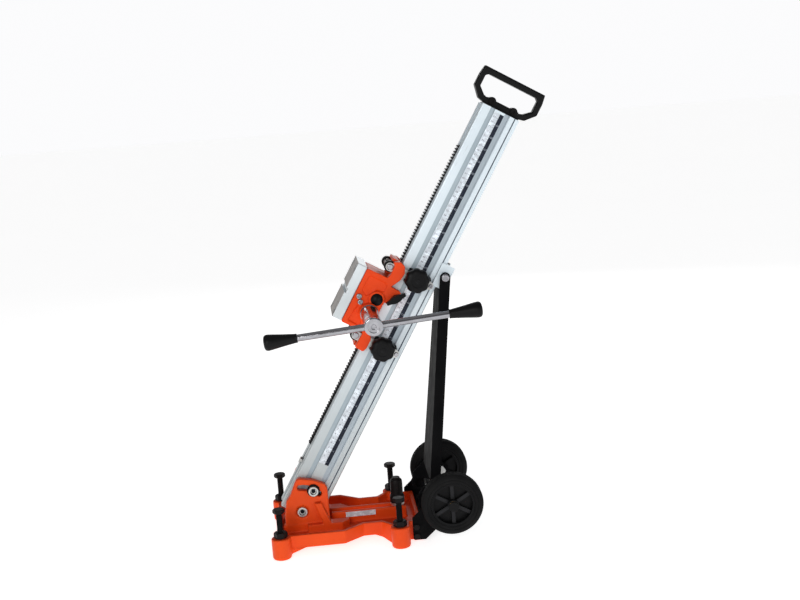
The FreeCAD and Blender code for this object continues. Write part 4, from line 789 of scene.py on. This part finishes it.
def guide_knobs():
    """Hand knobs with shallow lobes that fade out towards the middle."""
    for end in ("upper", "lower"):
        node = f"guide_knob_{end}"
        centre = Vector(JOINTS[f"{node}_turn"]["pos_m"])
        low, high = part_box(node)
        centre.y = 0
        top, stud = -low.y / MM, -high.y / MM
        base = top - KNOB_HIGH
        built = bmesh.new()

        def shape(radius, height, turn):
            wave = (0.5 - 0.5 * math.cos(KNOB_LOBES * turn)) ** 1.6
            fade = min(1.0, max(0.0, (radius - 12) / 9))
            return radius - LOBE_DEPTH * wave * fade, height

        profile = softened([
            (0.01, stud, 0), (4.6, stud, 0.4), (4.6, base - 1.2, 0.3), (9.5, base - 1.2, 0.8),
            (10.5, base, 0.8), (17.5, base, 2.0), (22.4, base + 2.2, 3.0), (24.4, base + 7, 3.5),
            (24.4, base + 15, 5.0), (22.6, base + 21, 4.5), (18.0, base + 23.4, 3.0),
            (12.5, base + 24, 0.8), (11.9, base + 23.3, 0.4), (5.0, base + 23.3, 0.4),
            (4.6, base + 23.8, 0.3), (0.01, base + 23.8, 0),
        ], 5)
        lathe(built, profile, 192, shape)
        add_piece(f"{node}_detail", built, frame_on(centre, NEAR), node)


# ---------------------------------------------------------------- crank

BAR_HALF = 196.0
BAR_THICK_SHARE = 0.0337


def crank():
    """A stepped hub on the shaft, and a cross bar with a flared grip on each end."""
    centre = Vector(JOINTS["crank_turn"]["pos_m"])
    centre.y = 0
    on_shaft = frame_on(centre, NEAR)
    low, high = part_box("crank_hub")
    front, start = -low.y / MM, -high.y / MM
    built = bmesh.new()
    lathe(built, softened([
        (10.2, start, 0), (17.8, start, 0.6), (17.8, start + 4.6, 0.6), (16.4, start + 5.4, 0.5),
        (16.4, front - 25, 0.5), (15.4, front - 24.2, 0.4), (15.4, front - 22.8, 0.4),
        (17.4, front - 22, 0.9), (17.4, front, 2.2), (11.0, front, 0.5), (10.2, front - 0.8, 0.5),
        (5.0, front - 0.8, 0.4), (4.2, front - 2.2, 0.5), (0.01, front - 2.4, 0),
    ]), 96)
    add_piece("crank_hub_detail", built, on_shaft, "crank_hub")

    ends = [vertex.co for vertex in NODES["crank_bar"].data.vertices]
    left = min(ends, key=lambda point: point.x)
    right = max(ends, key=lambda point: point.x)
    low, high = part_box("crank_bar")
    middle = (low + high) / 2
    middle.x, middle.z = centre.x, centre.z
    rise = Vector((right.x - left.x, 0, right.z - left.z))
    radius = (high.y - low.y) / 2 / MM
    half = BAR_HALF
    lean = math.asin(max(-1.0, min(1.0, (high.z - low.z) / MM / (2 * half) - BAR_THICK_SHARE)))
    way = Vector((math.cos(lean), 0, math.copysign(math.sin(lean), rise.z)))
    on_bar = frame_on(middle, way)
    built = bmesh.new()
    lathe(built, softened([
        (0.01, -half + 1, 0), (radius - 1, -half + 1, 0.4), (radius, -half + 2, 0.3),
        (radius, half - 2, 0.3), (radius - 1, half - 1, 0.4), (0.01, half - 1, 0),
    ]), 48)
    add_piece("crank_bar_detail", built, on_bar, "crank_bar")

    built = bmesh.new()
    for sign in (-1, 1):
        grip = [
            (radius + 0.05, 140.2, 0), (8.3, 140, 0.9), (8.7, 142, 0.6), (8.3, 143.2, 0.5),
            (8.6, 145, 0.5), (11.2, 166, 6), (14.4, 188, 5), (15.1, 195, 2.5), (13.6, 199.4, 2.5),
            (9.0, 201.6, 2.5), (0.01, 201.9, 0),
        ]
        profile = [(reach, sign * height) for reach, height in softened(grip, 5)]
        lathe(built, profile, 64)
    add_piece("crank_grips_detail", built, on_bar, "crank_grips")


# ---------------------------------------------------------------- carried-over CAD nodes

EDGES = {
    "column_profile": 0.5, "column_foot_block": 0.6, "tooth_rack": 0.18, "strut_channel": 0.5,
    "motor_plate": 0.5, "side_straps": 0.4, "wheel_bracket": 0.5, "strut_slide_bracket": 0.5,
    "wheel_rim_near": 0.6, "wheel_rim_far": 0.6, "column_end_plug": 0.6, "rating_plate": 0.15,
    "pinion_shaft": 0.25,
}
USUAL_EDGE = 0.35


def carried_over():
    """Gives every CAD node that still shows its material and small machined edges."""
    for node, item in NODES.items():
        if item.hide_render:
            continue
        for slot in item.material_slots:
            slot.material = RIM_BLACK if "wheel_rim" in node else MATERIALS[SLOT_OF[node]]
        crisp(item, EDGES.get(node, USUAL_EDGE))


add_camera()
add_studio()
add_floor()
cast_copy("base_casting", voxel=1.3, rounds=5)
cast_copy("carriage_casting", voxel=0.9, rounds=6)
cast_copy("top_handle", voxel=0.8, rounds=6)
levelling_screws()
lock_nuts()
anchor_post()
wheels()
ruler()
guide_knobs()
cast_copy("lock_knob", voxel=0.55, rounds=7)
crank()
carried_over()
